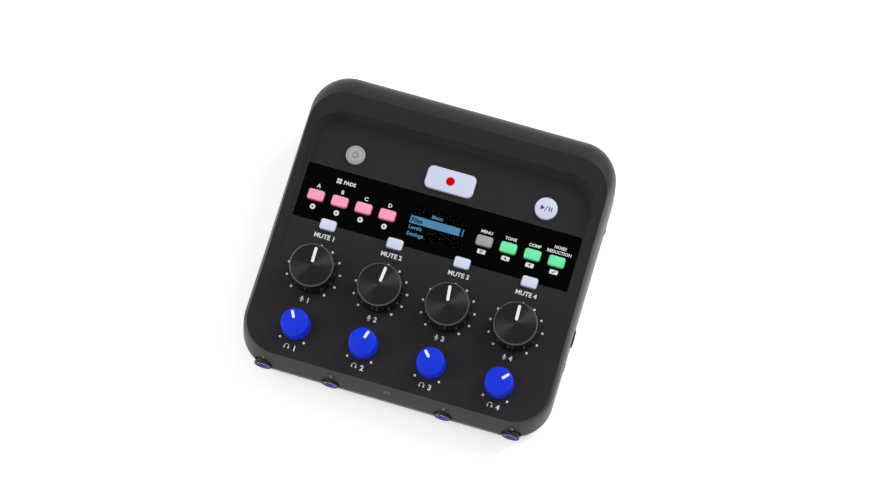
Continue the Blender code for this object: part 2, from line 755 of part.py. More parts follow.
def make_panel_board():
    half_depth = (PANEL_BOARD_REAR - PANEL_BOARD_FRONT) / 2
    centre = (0, PANEL_BOARD_FRONT + half_depth)
    outline = rounded(PANEL_BOARD_HALF_WIDTH, half_depth, BOARD_CORNER, centre=centre)
    mesh = prism(outline, PANEL_BOARD_TOP - BOARD_THICKNESS, PANEL_BOARD_TOP)
    board = place("panel_board", mesh, BOARD_GREEN, parent=deck)
    soldered = []
    for channel in CHANNELS:
        x = channel_x(channel)
        soldered.append(moved(pot_mesh(MIC_POT_SIZE, MIC_POT_HEIGHT, MIC_SHAFT_RADIUS), (x, 0, 0)))
        pot = pot_mesh(PHONES_POT_SIZE, PHONES_POT_HEIGHT, PHONES_SHAFT_RADIUS)
        soldered.append(moved(pot, (x, PHONES_ROW, 0)))
    for _, x, y, *_ in buttons:
        soldered.append(moved(switch_mesh(), (x, y, 0)))
    combine(board, "UNION", "soldered_pots_and_switches", gathered(soldered), parent=deck)


# The display behind its band


def make_display():
    """The glass in the deck's opening, on a carrier with legs that stand on the board."""
    glass_top = -WINDOW_THICKNESS - 2 * FIT
    carrier_top = -DECK_WALL - FIT
    carrier_bottom = carrier_top - CARRIER_THICKNESS
    glass = rounded(SCREEN_LENGTH / 2, SCREEN_WIDTH / 2, SCREEN_CORNER)
    carrier = rounded(SCREEN_LENGTH / 2 + CARRIER_SPREAD, SCREEN_WIDTH / 2 + CARRIER_SPREAD, CARRIER_SPREAD)
    mesh = loft([
        level(carrier, carrier_bottom),
        level(carrier, carrier_top),
        level(glass, carrier_top),
        level(glass, glass_top),
    ])
    module = place("display_module", mesh, SCREEN_BLUE, (SCREEN_X, SCREEN_Y, 0), deck)
    legs = []
    for side_x in (-1, 1):
        for side_y in (-1, 1):
            ends = (PANEL_BOARD_TOP + FIT, carrier_bottom + SOLDER_DEPTH)
            leg = turned([(CARRIER_LEG_RADIUS, height) for height in ends], POST_STEPS)
            legs.append(moved(leg, (side_x * SCREEN_LENGTH / 2, side_y * SCREEN_WIDTH / 2, 0)))
    combine(module, "UNION", "display_legs", gathered(legs), (SCREEN_X, SCREEN_Y, 0), deck)


def button_cutters(bottom, top, rows):
    """One clear hole round each button of these rows."""
    cutters = []
    for _, x, y, length, width, corner, _, _ in buttons:
        if y in rows:
            outline = button_outline(length, width, corner, FIT)
            cutters.append(moved(prism(outline, bottom, top), (x, y, 0)))
    return cutters


def make_window():
    """The glossy band over the display, cut out for the keys and notched for the mute buttons."""
    half_depth = (BAND_REAR - BAND_FRONT) / 2 - FIT
    centre = (0, (BAND_REAR + BAND_FRONT) / 2)
    outline = rounded(BAND_HALF_WIDTH - FIT, half_depth, BAND_CORNER, centre=centre)
    window = place("display_window", prism(outline, -WINDOW_THICKNESS, 0), GLOSS_BLACK, parent=deck)
    cutters = button_cutters(-WINDOW_THICKNESS - OVERRUN, OVERRUN, (PAD_ROW, FUNCTION_ROW, MUTE_ROW))
    combine(window, "DIFFERENCE", "window_holes", gathered(cutters), parent=deck)


# The case


def side_cutters():
    """Openings that cross the parting line: jacks, sliders and the USB port."""
    side = HALF_WIDTH
    reach = BARREL_LENGTH + BEZEL_PROUD
    cutters = []
    for x in FRONT_JACK_X:
        hole = turned([(BEZEL_RADIUS + FIT, 0), (BEZEL_RADIUS + FIT, reach + OVERRUN)], JACK_STEPS)
        cutters.append(moved(hole, (x, reach - HALF_DEPTH, PARTING_HEIGHT), math.pi / 2, "X"))
    hole = turned([(BEZEL_RADIUS + FIT, 0), (BEZEL_RADIUS + FIT, reach + OVERRUN)], JACK_STEPS)
    cutters.append(moved(hole, (side - reach, SIDE_JACK_Y, PARTING_HEIGHT), math.pi / 2, "Y"))
    for y, length, travel in (
        (CALL_SWITCH_Y, CALL_SLIDER_LENGTH, CALL_SLIDER_TRAVEL),
        (MODE_SWITCH_Y, MODE_SLIDER_LENGTH, MODE_SLIDER_TRAVEL),
    ):
        slot = rounded(SLIDER_HEIGHT / 2 + FIT, (length + travel) / 2 + FIT, SLIDER_CORNER)
        slot = prism(slot, 0, CASE_WALL + 2 * OVERRUN)
        cutters.append(moved(slot, (side - CASE_WALL - OVERRUN, y, PARTING_HEIGHT), math.pi / 2, "Y"))
    mouth = rounded(USB_HEIGHT / 2 + FIT, USB_WIDTH / 2 + FIT, USB_HEIGHT / 2)
    mouth = prism(mouth, 0, CASE_WALL + 2 * OVERRUN)
    cutters.append(moved(mouth, (-side - OVERRUN, USB_Y, usb_height()), math.pi / 2, "Y"))
    return gathered(cutters)


def usb_height():
    """Middle of the port, which stands on the jack board."""
    return JACK_BOARD_BOTTOM + BOARD_THICKNESS + FIT + USB_HEIGHT / 2


def card_height():
    """Middle of the card socket, which stands on the jack board."""
    return JACK_BOARD_BOTTOM + BOARD_THICKNESS + FIT + CARD_SOCKET_HEIGHT / 2


def make_top_shell():
    """The upper moulding: shoulder, rim, sunk deck, bosses, and every hole for a control or a socket."""
    shell = place("top_shell", upper_solid(), PLASTIC_BLACK)
    combine(shell, "DIFFERENCE", "upper_hollow", upper_hollow())

    posts = []
    for x_share, y_share in DECK_POST_SHARES:
        post = turned([(POST_RADIUS, PANEL_BOARD_TOP + FIT), (POST_RADIUS, -DECK_WALL / 2)], POST_STEPS)
        posts.append(moved(post, (x_share * HALF_WIDTH, y_share * HALF_DEPTH, 0)))
    combine(shell, "UNION", "board_posts", gathered(posts), parent=deck)
    bosses = []
    for y in BOSS_Y:
        for side in (-1, 1):
            top = deck_height(y, DECK_WALL / 2)
            boss = turned([(BOSS_RADIUS, PARTING_HEIGHT + FIT / 2), (BOSS_RADIUS, top)], POST_STEPS)
            bosses.append(moved(boss, (side * BOSS_X, y, 0)))
    combine(shell, "UNION", "screw_bosses", gathered(bosses))
    pilots = []
    for y in BOSS_Y:
        for side in (-1, 1):
            ends = (PARTING_HEIGHT - OVERRUN, PARTING_HEIGHT + PILOT_DEPTH)
            pilot = turned([(PILOT_RADIUS, height) for height in ends], POST_STEPS)
            pilots.append(moved(pilot, (side * BOSS_X, y, 0)))
    combine(shell, "DIFFERENCE", "screw_pilots", gathered(pilots))

    half_depth = (BAND_REAR - BAND_FRONT) / 2
    outline = rounded(BAND_HALF_WIDTH, half_depth, BAND_CORNER, centre=(0, BAND_FRONT + half_depth))
    combine(shell, "DIFFERENCE", "band_pocket", prism(outline, -WINDOW_THICKNESS - FIT, OVERRUN), parent=deck)
    rows = (PAD_ROW, FUNCTION_ROW, MUTE_ROW, TRANSPORT_ROW)
    holes = button_cutters(-DECK_WALL - OVERRUN, OVERRUN, rows)
    for channel in CHANNELS:
        for shaft_radius, y in ((MIC_SHAFT_RADIUS, 0), (PHONES_SHAFT_RADIUS, PHONES_ROW)):
            clear = around(shaft_radius + BUSHING_WALL + 2 * FIT, POST_STEPS)
            hole = prism(clear, -DECK_WALL - OVERRUN, OVERRUN)
            holes.append(moved(hole, (channel_x(channel), y, 0)))
    screen = rounded(SCREEN_LENGTH / 2 + FIT, SCREEN_WIDTH / 2 + FIT, SCREEN_CORNER)
    holes.append(moved(prism(screen, -DECK_WALL - OVERRUN, OVERRUN), (SCREEN_X, SCREEN_Y, 0)))
    combine(shell, "DIFFERENCE", "deck_holes", gathered(holes), parent=deck)

    sockets = []
    for channel in CHANNELS:
        hole = turned([(SOCKET_RADIUS + FIT, 0), (SOCKET_RADIUS + FIT, CASE_WALL + 2 * OVERRUN)])
        place_at = (channel_x(channel), HALF_DEPTH + OVERRUN, SOCKET_HEIGHT)
        sockets.append(moved(hole, place_at, math.pi / 2, "X"))
    combine(shell, "DIFFERENCE", "socket_holes", gathered(sockets))
    combine(shell, "DIFFERENCE", "upper_side_openings", side_cutters())


def bay_half_length():
    """Half the bay: two cells, the spring, the dimple, two contact plates and a gap at each meeting."""
    cells = 2 * (CELL_LENGTH + NUB_LENGTH)
    return (cells + SPRING_LENGTH + DIMPLE_LENGTH + 2 * CONTACT_THICKNESS + 5 * FIT) / 2


def door_half_sizes():
    """The door's recess in the underside."""
    return bay_half_length() + DOOR_LEDGE, bay_half_width() + DOOR_LEDGE


def hinge_place():
    """Middle of the door's hinge line, along its front edge."""
    _, half_width = door_half_sizes()
    return (0, BAY_CENTRE_Y - half_width + FIT + DOOR_THICKNESS / 2, CASE_UNDERSIDE + DOOR_THICKNESS / 2)


def make_bottom_shell():
    """The lower moulding: floor, battery bay, bosses, board posts and foot recesses."""
    solid = lower_solid(0, CASE_UNDERSIDE, PARTING_HEIGHT - FIT / 2)
    shell = place("bottom_shell", solid, PLASTIC_BLACK)
    floor = CASE_UNDERSIDE + CASE_WALL
    hollow = lower_solid(CASE_WALL, floor, PARTING_HEIGHT + OVERRUN)
    combine(shell, "DIFFERENCE", "lower_hollow", hollow)

    recess_x, recess_y = door_half_sizes()
    recess_top = CASE_UNDERSIDE + DOOR_THICKNESS + FIT
    added = []
    centre = (0, BAY_CENTRE_Y)
    outline = rounded(recess_x + BAY_WALL, recess_y + BAY_WALL, BAY_WALL, centre=centre)
    inner = rounded(bay_half_length() + BAY_WALL, bay_half_width() + BAY_WALL, BAY_WALL, centre=centre)
    added.append(loft([
        level(outline, floor - SOLDER_DEPTH),
        level(outline, recess_top + BAY_WALL),
        level(inner, recess_top + BAY_WALL),
        level(inner, bay_ceiling() + BAY_WALL),
    ]))
    for y in BOSS_Y:
        for side in (-1, 1):
            ends = (floor - SOLDER_DEPTH, PARTING_HEIGHT - FIT / 2)
            boss = turned([(BOSS_RADIUS, height) for height in ends], POST_STEPS)
            added.append(moved(boss, (side * BOSS_X, y, 0)))
    for x, y, under in floor_posts():
        for side in (-1, 1):
            post = turned([(POST_RADIUS, floor - SOLDER_DEPTH), (POST_RADIUS, under - FIT)], POST_STEPS)
            added.append(moved(post, (side * x, y, 0)))
    combine(shell, "UNION", "bay_bosses_and_posts", gathered(added))

    bay = rounded(bay_half_length(), bay_half_width(), FIT, centre=(0, BAY_CENTRE_Y))
    recess = rounded(recess_x, recess_y, FIT, centre=(0, BAY_CENTRE_Y))
    under = CASE_UNDERSIDE - OVERRUN
    cavity = loft([
        level(recess, under),
        level(recess, recess_top),
        level(bay, recess_top),
        level(bay, bay_ceiling()),
    ])
    combine(shell, "DIFFERENCE", "battery_bay", cavity)
    pins = []
    for side in (-1, 1):
        radius = DOOR_PIN_RADIUS + FIT
        length = DOOR_PIN_LENGTH + FIT
        seat = rounded(length, radius, radius / 2)
        seat = prism(seat, -OVERRUN, DOOR_THICKNESS / 2 + radius)
        hinge = hinge_place()
        pins.append(moved(seat, (side * recess_x, hinge[1], CASE_UNDERSIDE)))
    combine(shell, "DIFFERENCE", "door_pin_seats", gathered(pins))

    cuts = []
    for y in BOSS_Y:
        for side in (-1, 1):
            head_top = CASE_UNDERSIDE + SCREW_HEAD_DEPTH
            screw = turned([
                (SCREW_HEAD_RADIUS, under),
                (SCREW_HEAD_RADIUS, head_top),
                (SCREW_HOLE_RADIUS, head_top),
                (SCREW_HOLE_RADIUS, PARTING_HEIGHT + OVERRUN),
            ], POST_STEPS)
            cuts.append(moved(screw, (side * BOSS_X, y, 0)))
    for x, y in foot_places():
        recess = turned([(FOOT_RADIUS + FIT, under), (FOOT_RADIUS + FIT, FOOT_THICKNESS + FIT)], JACK_STEPS)
        cuts.append(moved(recess, (x, y, 0)))
    combine(shell, "DIFFERENCE", "screw_holes_and_foot_recesses", gathered(cuts))
    combine(shell, "DIFFERENCE", "lower_side_openings", side_cutters())
    slot = rounded(CARD_SLOT_HEIGHT / 2 + FIT, CARD_SLOT_WIDTH / 2 + FIT, CARD_SLOT_HEIGHT / 2)
    slot = prism(slot, 0, CASE_WALL + 2 * OVERRUN)
    slot_place = (-HALF_WIDTH - OVERRUN, CARD_Y, card_height())
    combine(shell, "DIFFERENCE", "card_slot", moved(slot, slot_place, math.pi / 2, "Y"))


def floor_posts():
    """Place and height of the posts under the jack board and the rear board, on one side."""
    found = []
    for x_share, y_share in FRONT_FLOOR_POST_SHARES:
        found.append((x_share * HALF_WIDTH, y_share * HALF_DEPTH, JACK_BOARD_BOTTOM))
    for x_share, y_share in REAR_FLOOR_POST_SHARES:
        y = REAR_BOARD_FRONT + y_share * REAR_BOARD_WIDTH
        found.append((x_share * HALF_WIDTH, y, REAR_BOARD_BOTTOM))
    return found


def foot_places():
    return [(side_x * FOOT_X, side_y * FOOT_Y) for side_x in (-1, 1) for side_y in (-1, 1)]


def make_feet():
    for index, (x, y) in enumerate(foot_places()):
        profile = [
            (FOOT_RADIUS - FOOT_CHAMFER, 0),
            (FOOT_RADIUS, FOOT_CHAMFER),
            (FOOT_RADIUS, FOOT_THICKNESS),
        ]
        place(f"rubber_foot_{index + 1}", turned(profile, JACK_STEPS), RUBBER, (x, y, 0))


# The lower boards


def winged_outline(half_width, front, rear, wing_front, wing_rear, left_wing=True):
    """A board with a wing at each side, or at the right only."""
    wing = HALF_WIDTH - BARREL_LENGTH - FIT
    right = [(half_width, front), (half_width, wing_front), (wing, wing_front)]
    right += [(wing, wing_rear), (half_width, wing_rear)]
    left = [(-x, y) for x, y in reversed(right)] if left_wing else [(-half_width, front)]
    return right + [(half_width, rear), (-half_width, rear)] + left


def slider_body(board_bottom, length, travel, y):
    """A slide switch's housing, soldered to the edge of its board."""
    right = slider_plate_inner() - FIT
    half_y = (length + travel) / 2 + SLIDER_PLATE_SPREAD + travel / 2
    outline = rounded(SLIDER_BODY_DEPTH / 2, half_y, SLIDER_CORNER, 1)
    top = PARTING_HEIGHT + SLIDER_BODY_HEIGHT / 2
    body = prism(outline, board_bottom + BOARD_THICKNESS - SOLDER_DEPTH, top)
    return moved(body, (right - SLIDER_BODY_DEPTH / 2, y, 0))


def slider_plate_inner():
    """The inner face of a slider's plate, which runs between the wall and the housing."""
    return HALF_WIDTH - CASE_WALL - 2 * FIT - SLIDER_PLATE_SPREAD


def make_lower_boards():
    front = BARREL_LENGTH + FIT - HALF_DEPTH
    outline = winged_outline(JACK_BOARD_HALF_WIDTH, front, JACK_BOARD_REAR, JACK_WING_FRONT, JACK_WING_REAR)
    mesh = prism(outline, JACK_BOARD_BOTTOM, JACK_BOARD_BOTTOM + BOARD_THICKNESS)
    board = place("jack_board", mesh, BOARD_GREEN)
    body = slider_body(JACK_BOARD_BOTTOM, CALL_SLIDER_LENGTH, CALL_SLIDER_TRAVEL, CALL_SWITCH_Y)
    combine(board, "UNION", "call_switch_housing", body)

    front = REAR_BOARD_FRONT
    outline = winged_outline(REAR_BOARD_HALF_WIDTH, front, REAR_BOARD_REAR, front, REAR_WING_REAR, False)
    mesh = prism(outline[1:], REAR_BOARD_BOTTOM, REAR_BOARD_BOTTOM + BOARD_THICKNESS)
    board = place("rear_board", mesh, BOARD_GREEN)
    body = slider_body(REAR_BOARD_BOTTOM, MODE_SLIDER_LENGTH, MODE_SLIDER_TRAVEL, MODE_SWITCH_Y)
    combine(board, "UNION", "mode_switch_housing", body)


def make_sliders():
    """Slider tabs that pass through the wall, held by a plate behind it."""
    for name, y, length, travel in (
        ("call_switch_slider", CALL_SWITCH_Y, CALL_SLIDER_LENGTH, CALL_SLIDER_TRAVEL),
        ("mode_switch_slider", MODE_SWITCH_Y, MODE_SLIDER_LENGTH, MODE_SLIDER_TRAVEL),
    ):
        plate = rounded(SLIDER_PLATE_HEIGHT / 2, (length + travel) / 2 + SLIDER_PLATE_SPREAD, SLIDER_CORNER)
        tab = rounded(SLIDER_HEIGHT / 2, length / 2, SLIDER_CORNER)
        reach = CASE_WALL + FIT + SLIDER_PLATE_SPREAD + SLIDER_PROUD
        mesh = loft([
            level(plate, 0),
            level(plate, SLIDER_PLATE_SPREAD),
            level(tab, SLIDER_PLATE_SPREAD),
            level(tab, reach),
        ])
        rest = y - travel / 2
        place(name, mesh, RUBBER, (slider_plate_inner(), rest, PARTING_HEIGHT), rotation=(0, math.pi / 2, 0))


# Jacks and sockets


def jack_mesh():
    """A bezel with a stepped bore, facing up its own axis from the wall's face at 0."""
    return turned([
        (BARREL_RADIUS, -BARREL_LENGTH),
        (BARREL_RADIUS, BEZEL_PROUD - BEZEL_THICKNESS),
        (BEZEL_RADIUS, BEZEL_PROUD - BEZEL_THICKNESS),
        (BEZEL_RADIUS, BEZEL_PROUD),
        (RING_RADIUS, BEZEL_PROUD),
        (RING_RADIUS, BEZEL_PROUD - RING_DEPTH),
    ], JACK_STEPS)


def make_jack(name, location, rotation):
    """A 3.5 mm jack: bezel, barrel, a body that lies on the board, and the bore."""
    jack = place(name, jack_mesh(), PLASTIC_BLACK, location, rotation=rotation)
    body = rounded(JACK_BODY_WIDTH / 2, JACK_BODY_HEIGHT / 2, JACK_CORNER, 1)
    body = prism(body, -BARREL_LENGTH - JACK_BODY_LENGTH, SOLDER_DEPTH - BARREL_LENGTH)
    combine(jack, "UNION", f"{name}_body", body, location, rotation=rotation)
    bore = turned([(JACK_BORE_RADIUS, -JACK_BORE_DEPTH), (JACK_BORE_RADIUS, OVERRUN)], POST_STEPS)
    combine(jack, "DIFFERENCE", f"{name}_bore", bore, location, rotation=rotation)


def make_jacks():
    quarter = math.pi / 2
    for channel, x in zip(CHANNELS, FRONT_JACK_X):
        make_jack(f"phones_jack_{channel}", (x, -HALF_DEPTH, PARTING_HEIGHT), (quarter, 0, 0))
    make_jack("phone_in_jack", (HALF_WIDTH, SIDE_JACK_Y, PARTING_HEIGHT), (quarter, 0, quarter))


def make_mic_sockets():
    """Round three-pin sockets with a groove for the plug's shell, each on a block on the rear board."""
    inner = SOCKET_RADIUS - SOCKET_RIM
    insert = inner - SOCKET_GROOVE
    for channel in CHANNELS:
        name = f"mic_socket_{channel}"
        location = (channel_x(channel), HALF_DEPTH, SOCKET_HEIGHT)
        rotation = (-math.pi / 2, 0, 0)
        mesh = turned([
            (SOCKET_RADIUS, -SOCKET_LENGTH),
            (SOCKET_RADIUS, 0),
            (inner, 0),
            (inner, -SOCKET_GROOVE_DEPTH),
            (insert, -SOCKET_GROOVE_DEPTH),
            (insert, -SOCKET_FACE_SETBACK),
        ], JACK_STEPS)
        socket = place(name, mesh, KNOB_BLACK, location, rotation=rotation)
        holes = []
        for third in range(3):
            hole = turned([(PIN_HOLE_RADIUS, -PIN_HOLE_DEPTH), (PIN_HOLE_RADIUS, OVERRUN)], POST_STEPS)
            angle = math.tau * third / 3 + math.pi / 2
            pin = Vector((PIN_CIRCLE_RADIUS * math.cos(angle), PIN_CIRCLE_RADIUS * math.sin(angle), 0))
            holes.append(moved(hole, pin))
        combine(socket, "DIFFERENCE", f"{name}_holes", gathered(holes), location, rotation=rotation)
        board_top = REAR_BOARD_BOTTOM + BOARD_THICKNESS
        outline = rounded(SOCKET_BLOCK_HALF_WIDTH, SOCKET_BLOCK_LENGTH / 2, JACK_CORNER, 1)
        block = prism(outline, board_top + FIT, SOCKET_HEIGHT)
        rear = HALF_DEPTH - SOCKET_LENGTH + SOCKET_BLOCK_LENGTH / 2 + JACK_CORNER
        combine(socket, "UNION", f"{name}_block", block, (channel_x(channel), rear, 0))


def make_left_ports():
    """The USB port and the memory card socket, which stand on the jack board's left wing."""
    left = -HALF_WIDTH + SIDE_SETBACK
    rotation = (0, -math.pi / 2, 0)
    shell = rounded(USB_HEIGHT / 2, USB_WIDTH / 2, USB_HEIGHT / 2 - USB_WALL)
    mouth = rounded(USB_HEIGHT / 2 - USB_WALL, USB_WIDTH / 2 - USB_WALL, USB_HEIGHT / 2 - 2 * USB_WALL)
    tongue = rounded(USB_TONGUE_HEIGHT / 2, USB_TONGUE_WIDTH / 2, USB_TONGUE_HEIGHT / 2 - USB_WALL / 2)
    mesh = loft([
        level(shell, -USB_LENGTH),
        level(shell, 0),
        level(mouth, 0),
        level(mouth, -USB_MOUTH_DEPTH),
        level(tongue, -USB_MOUTH_DEPTH),
        level(tongue, -USB_WALL),
    ])
    place("usb_port", mesh, STEEL, (left, USB_Y, usb_height()), rotation=rotation)

    body = rounded(CARD_SOCKET_HEIGHT / 2, CARD_SOCKET_WIDTH / 2, USB_WALL)
    slot = rounded(CARD_SLOT_HEIGHT / 2, CARD_SLOT_WIDTH / 2, CARD_SLOT_HEIGHT / 2 - USB_WALL / 2)
    behind = -CASE_WALL
    mesh = loft([
        level(body, behind - CARD_SOCKET_LENGTH),
        level(body, behind),
        level(slot, behind),
        level(slot, behind - CARD_SLOT_DEPTH),
    ])
    place("card_socket", mesh, STEEL, (left, CARD_Y, card_height()), rotation=rotation)


# Battery bay


def make_batteries():
    """Two cells end to end between a spring contact on the left and a dimpled one on the right."""
    along_x = (0, math.pi / 2, 0)
    height = cell_height()
    start = -bay_half_length() + FIT
    plate = rounded(CONTACT_HALF_HEIGHT, CONTACT_HALF_WIDTH, CONTACT_THICKNESS)
    spring = [(SPRING_RADIUS, CONTACT_THICKNESS), (SPRING_END_RADIUS, CONTACT_THICKNESS + SPRING_LENGTH)]
    rings = [level(plate, 0), level(plate, CONTACT_THICKNESS)]
    rings += [level(circle(radius, len(plate)), along) for radius, along in spring]
    place("battery_minus_contact", loft(rings), STEEL, (start, BAY_CENTRE_Y, height), rotation=along_x)
    start += CONTACT_THICKNESS + SPRING_LENGTH + FIT
    for cell in (1, 2):
        mesh = turned([
            (CELL_RADIUS, 0),
            (CELL_RADIUS, CELL_LENGTH),
            (NUB_RADIUS, CELL_LENGTH),
            (NUB_RADIUS, CELL_LENGTH + NUB_LENGTH),
        ], JACK_STEPS)
        place(f"battery_cell_{cell}", mesh, CELL_GREY, (start, BAY_CENTRE_Y, height), rotation=along_x)
        start += CELL_LENGTH + NUB_LENGTH + FIT
    dimple = [(SPRING_END_RADIUS, 0), (SPRING_RADIUS, DIMPLE_LENGTH)]
    rings = [level(circle(radius, len(plate)), along) for radius, along in dimple]
    rings += [level(plate, DIMPLE_LENGTH), level(plate, DIMPLE_LENGTH + CONTACT_THICKNESS)]
    place("battery_plus_contact", loft(rings), STEEL, (start, BAY_CENTRE_Y, height), rotation=along_x)


def make_battery_door():
    """A flush door with a round hinge edge at the front, a pin at each end and a finger grip."""
    half_x, half_y = door_half_sizes()
    half_x -= FIT
    length = 2 * half_y - 2 * FIT
    radius = DOOR_THICKNESS / 2
    profile = arc(0, 0, radius, math.pi / 2, math.pi, ROUND_CORNER_STEPS)
    profile += [(length - radius, -radius), (length - radius, radius)]
    ends = [[(x, y, z) for y, z in profile] for x in (-half_x, half_x)]
    door = place("battery_door", loft(ends), PLASTIC_BLACK, hinge_place())
    pins = []
    for side in (-1, 1):
        pin = turned([(DOOR_PIN_RADIUS, -SOLDER_DEPTH), (DOOR_PIN_RADIUS, DOOR_PIN_LENGTH)], SMALL_STEPS)
        pins.append(moved(pin, (side * half_x, 0, 0), side * math.pi / 2, "Y"))
    combine(door, "UNION", "door_pins", gathered(pins), hinge_place())
    grip = rounded(DOOR_GRIP_WIDTH / 2, DOOR_GRIP_LENGTH / 2, DOOR_GRIP_LENGTH / 2 - FIT)
    grip = prism(grip, -radius - OVERRUN, DOOR_GRIP_DEPTH - radius)
    grip = moved(grip, (0, length - radius - 2 * DOOR_GRIP_LENGTH, 0))
    combine(door, "DIFFERENCE", "door_grip", grip, hinge_place())


make_top_shell()
make_bottom_shell()
make_window()
make_display()
make_panel_board()
make_lower_boards()
make_knobs()
make_buttons()
make_jacks()
make_mic_sockets()
make_left_ports()
make_sliders()
make_batteries()
make_battery_door()
make_feet()
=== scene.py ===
"""Looks of the podcast recorder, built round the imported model.

The controls sit on a deck that slopes up to the rear: x runs to the right, y up the slope and h out of it.
"""

import math

import bmesh
import bpy
from mathutils import Matrix, Vector


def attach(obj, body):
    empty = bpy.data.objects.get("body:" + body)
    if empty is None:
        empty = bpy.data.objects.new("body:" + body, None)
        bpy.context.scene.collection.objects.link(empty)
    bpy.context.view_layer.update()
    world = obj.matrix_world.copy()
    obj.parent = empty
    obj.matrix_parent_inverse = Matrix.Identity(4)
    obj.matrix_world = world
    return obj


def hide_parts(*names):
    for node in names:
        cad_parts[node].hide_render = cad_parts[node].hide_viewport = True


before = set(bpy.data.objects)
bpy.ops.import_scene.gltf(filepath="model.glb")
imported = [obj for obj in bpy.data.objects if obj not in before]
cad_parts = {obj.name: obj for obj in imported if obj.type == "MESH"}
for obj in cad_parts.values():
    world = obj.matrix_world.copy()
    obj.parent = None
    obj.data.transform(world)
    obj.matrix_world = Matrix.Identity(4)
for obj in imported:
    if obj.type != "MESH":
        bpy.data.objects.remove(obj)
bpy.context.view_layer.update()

# Camera
# The photograph is taken from high above the front right corner, with a long lens.
# The place and the turns come from the knobs' and the keys' places in the picture.
camera = bpy.data.objects.new("camera", bpy.data.cameras.new("camera"))
scene = bpy.context.scene
scene.collection.objects.link(camera)
camera.location = (0.1295, -0.4041, 1.2062)
camera.rotation_euler = (math.radians(19.99), 0, math.radians(16.77))
camera.data.sensor_width = 36
camera.data.lens = 101.1
camera.data.clip_start = 0.05
scene.camera = camera

# Floor and light
# A pale table in a white studio that is bright round the sides and darker overhead, with two soft lamps.
# What the camera sees of the table is lifted to white, and it keeps the shadow.
scene.view_settings.view_transform = "Standard"


def lamp(name, size, place, power):
    """A square soft box that faces the recorder."""
    data = bpy.data.lights.new(name, "AREA")
    data.shape = "SQUARE"
    data.size = size
    data.energy = power
    made = bpy.data.objects.new(name, data)
    scene.collection.objects.link(made)
    made.location = place
    made.rotation_euler = Vector(place).to_track_quat("Z", "Y").to_euler()


lamp("key_lamp", 0.7, (0.75, 0.85, 0.95), 14)
lamp("fill_lamp", 0.9, (-1.05, -0.35, 0.85), 7)


def maths(tree, operation, *values):
    """A maths node whose inputs are linked or set; returns its output."""
    made = tree.nodes.new("ShaderNodeMath")
    made.operation = operation
    for socket, value in zip(made.inputs, values):
        if isinstance(value, bpy.types.NodeSocket):
            tree.links.new(value, socket)
        else:
            socket.default_value = value
    return made.outputs[0]


def white_rays(tree):
    """1 for the rays that see the background itself: the camera's, and those of metal and of glass."""
    path = tree.nodes.new("ShaderNodeLightPath")
    level = path.outputs["Is Camera Ray"]
    for kind in ("Is Glossy Ray", "Is Transmission Ray"):
        level = maths(tree, "MAXIMUM", level, path.outputs[kind])
    return level


world = bpy.data.worlds.new("studio")
scene.world = world
world.use_nodes = True
tree = world.node_tree
seen = white_rays(tree)
direction = tree.nodes.new("ShaderNodeTexCoord")
upward = tree.nodes.new("ShaderNodeSeparateXYZ")
tree.links.new(direction.outputs["Generated"], upward.inputs[0])
sky = tree.nodes.new("ShaderNodeMapRange")
sky.interpolation_type = "SMOOTHSTEP"
sky.inputs["From Min"].default_value = 0.25
sky.inputs["From Max"].default_value = 0.95
sky.inputs["To Min"].default_value = 0.85
sky.inputs["To Max"].default_value = 0.30
tree.links.new(upward.outputs["Z"], sky.inputs["Value"])
strength = tree.nodes.new("ShaderNodeMix")
tree.links.new(seen, strength.inputs["Factor"])
tree.links.new(sky.outputs["Result"], strength.inputs["A"])
strength.inputs["B"].default_value = 1
background = tree.nodes["Background"]
background.inputs["Color"].default_value = (1, 1, 1, 1)
tree.links.new(strength.outputs["Result"], background.inputs["Strength"])

table_mesh = bmesh.new()
bmesh.ops.create_grid(table_mesh, x_segments=1, y_segments=1, size=3)
table_data = bpy.data.meshes.new("table_top")
table_mesh.to_mesh(table_data)
table_mesh.free()
table = bpy.data.objects.new("table_top", table_data)
scene.collection.objects.link(table)
paper = bpy.data.materials.new("white_paper")
paper.use_nodes = True
tree = paper.node_tree
shader = tree.nodes["Principled BSDF"]
shader.inputs["Base Color"].default_value = (0.84, 0.84, 0.84, 1)
shader.inputs["Roughness"].default_value = 0.9
shader.inputs["Emission Color"].default_value = (1, 1, 1, 1)
lift = tree.nodes.new("ShaderNodeMapRange")
lift.inputs["To Min"].default_value = 0
lift.inputs["To Max"].default_value = 0.45
tree.links.new(white_rays(tree), lift.inputs["Value"])
tree.links.new(lift.outputs["Result"], shader.inputs["Emission Strength"])
table_data.materials.append(paper)

# Upper case
# One injection moulding in black ABS with a fine spark-eroded texture: soft shoulders, a rim that rises to
# the rear and a deck sunk into it. It clamps on the lower case at the parting line with four screws.


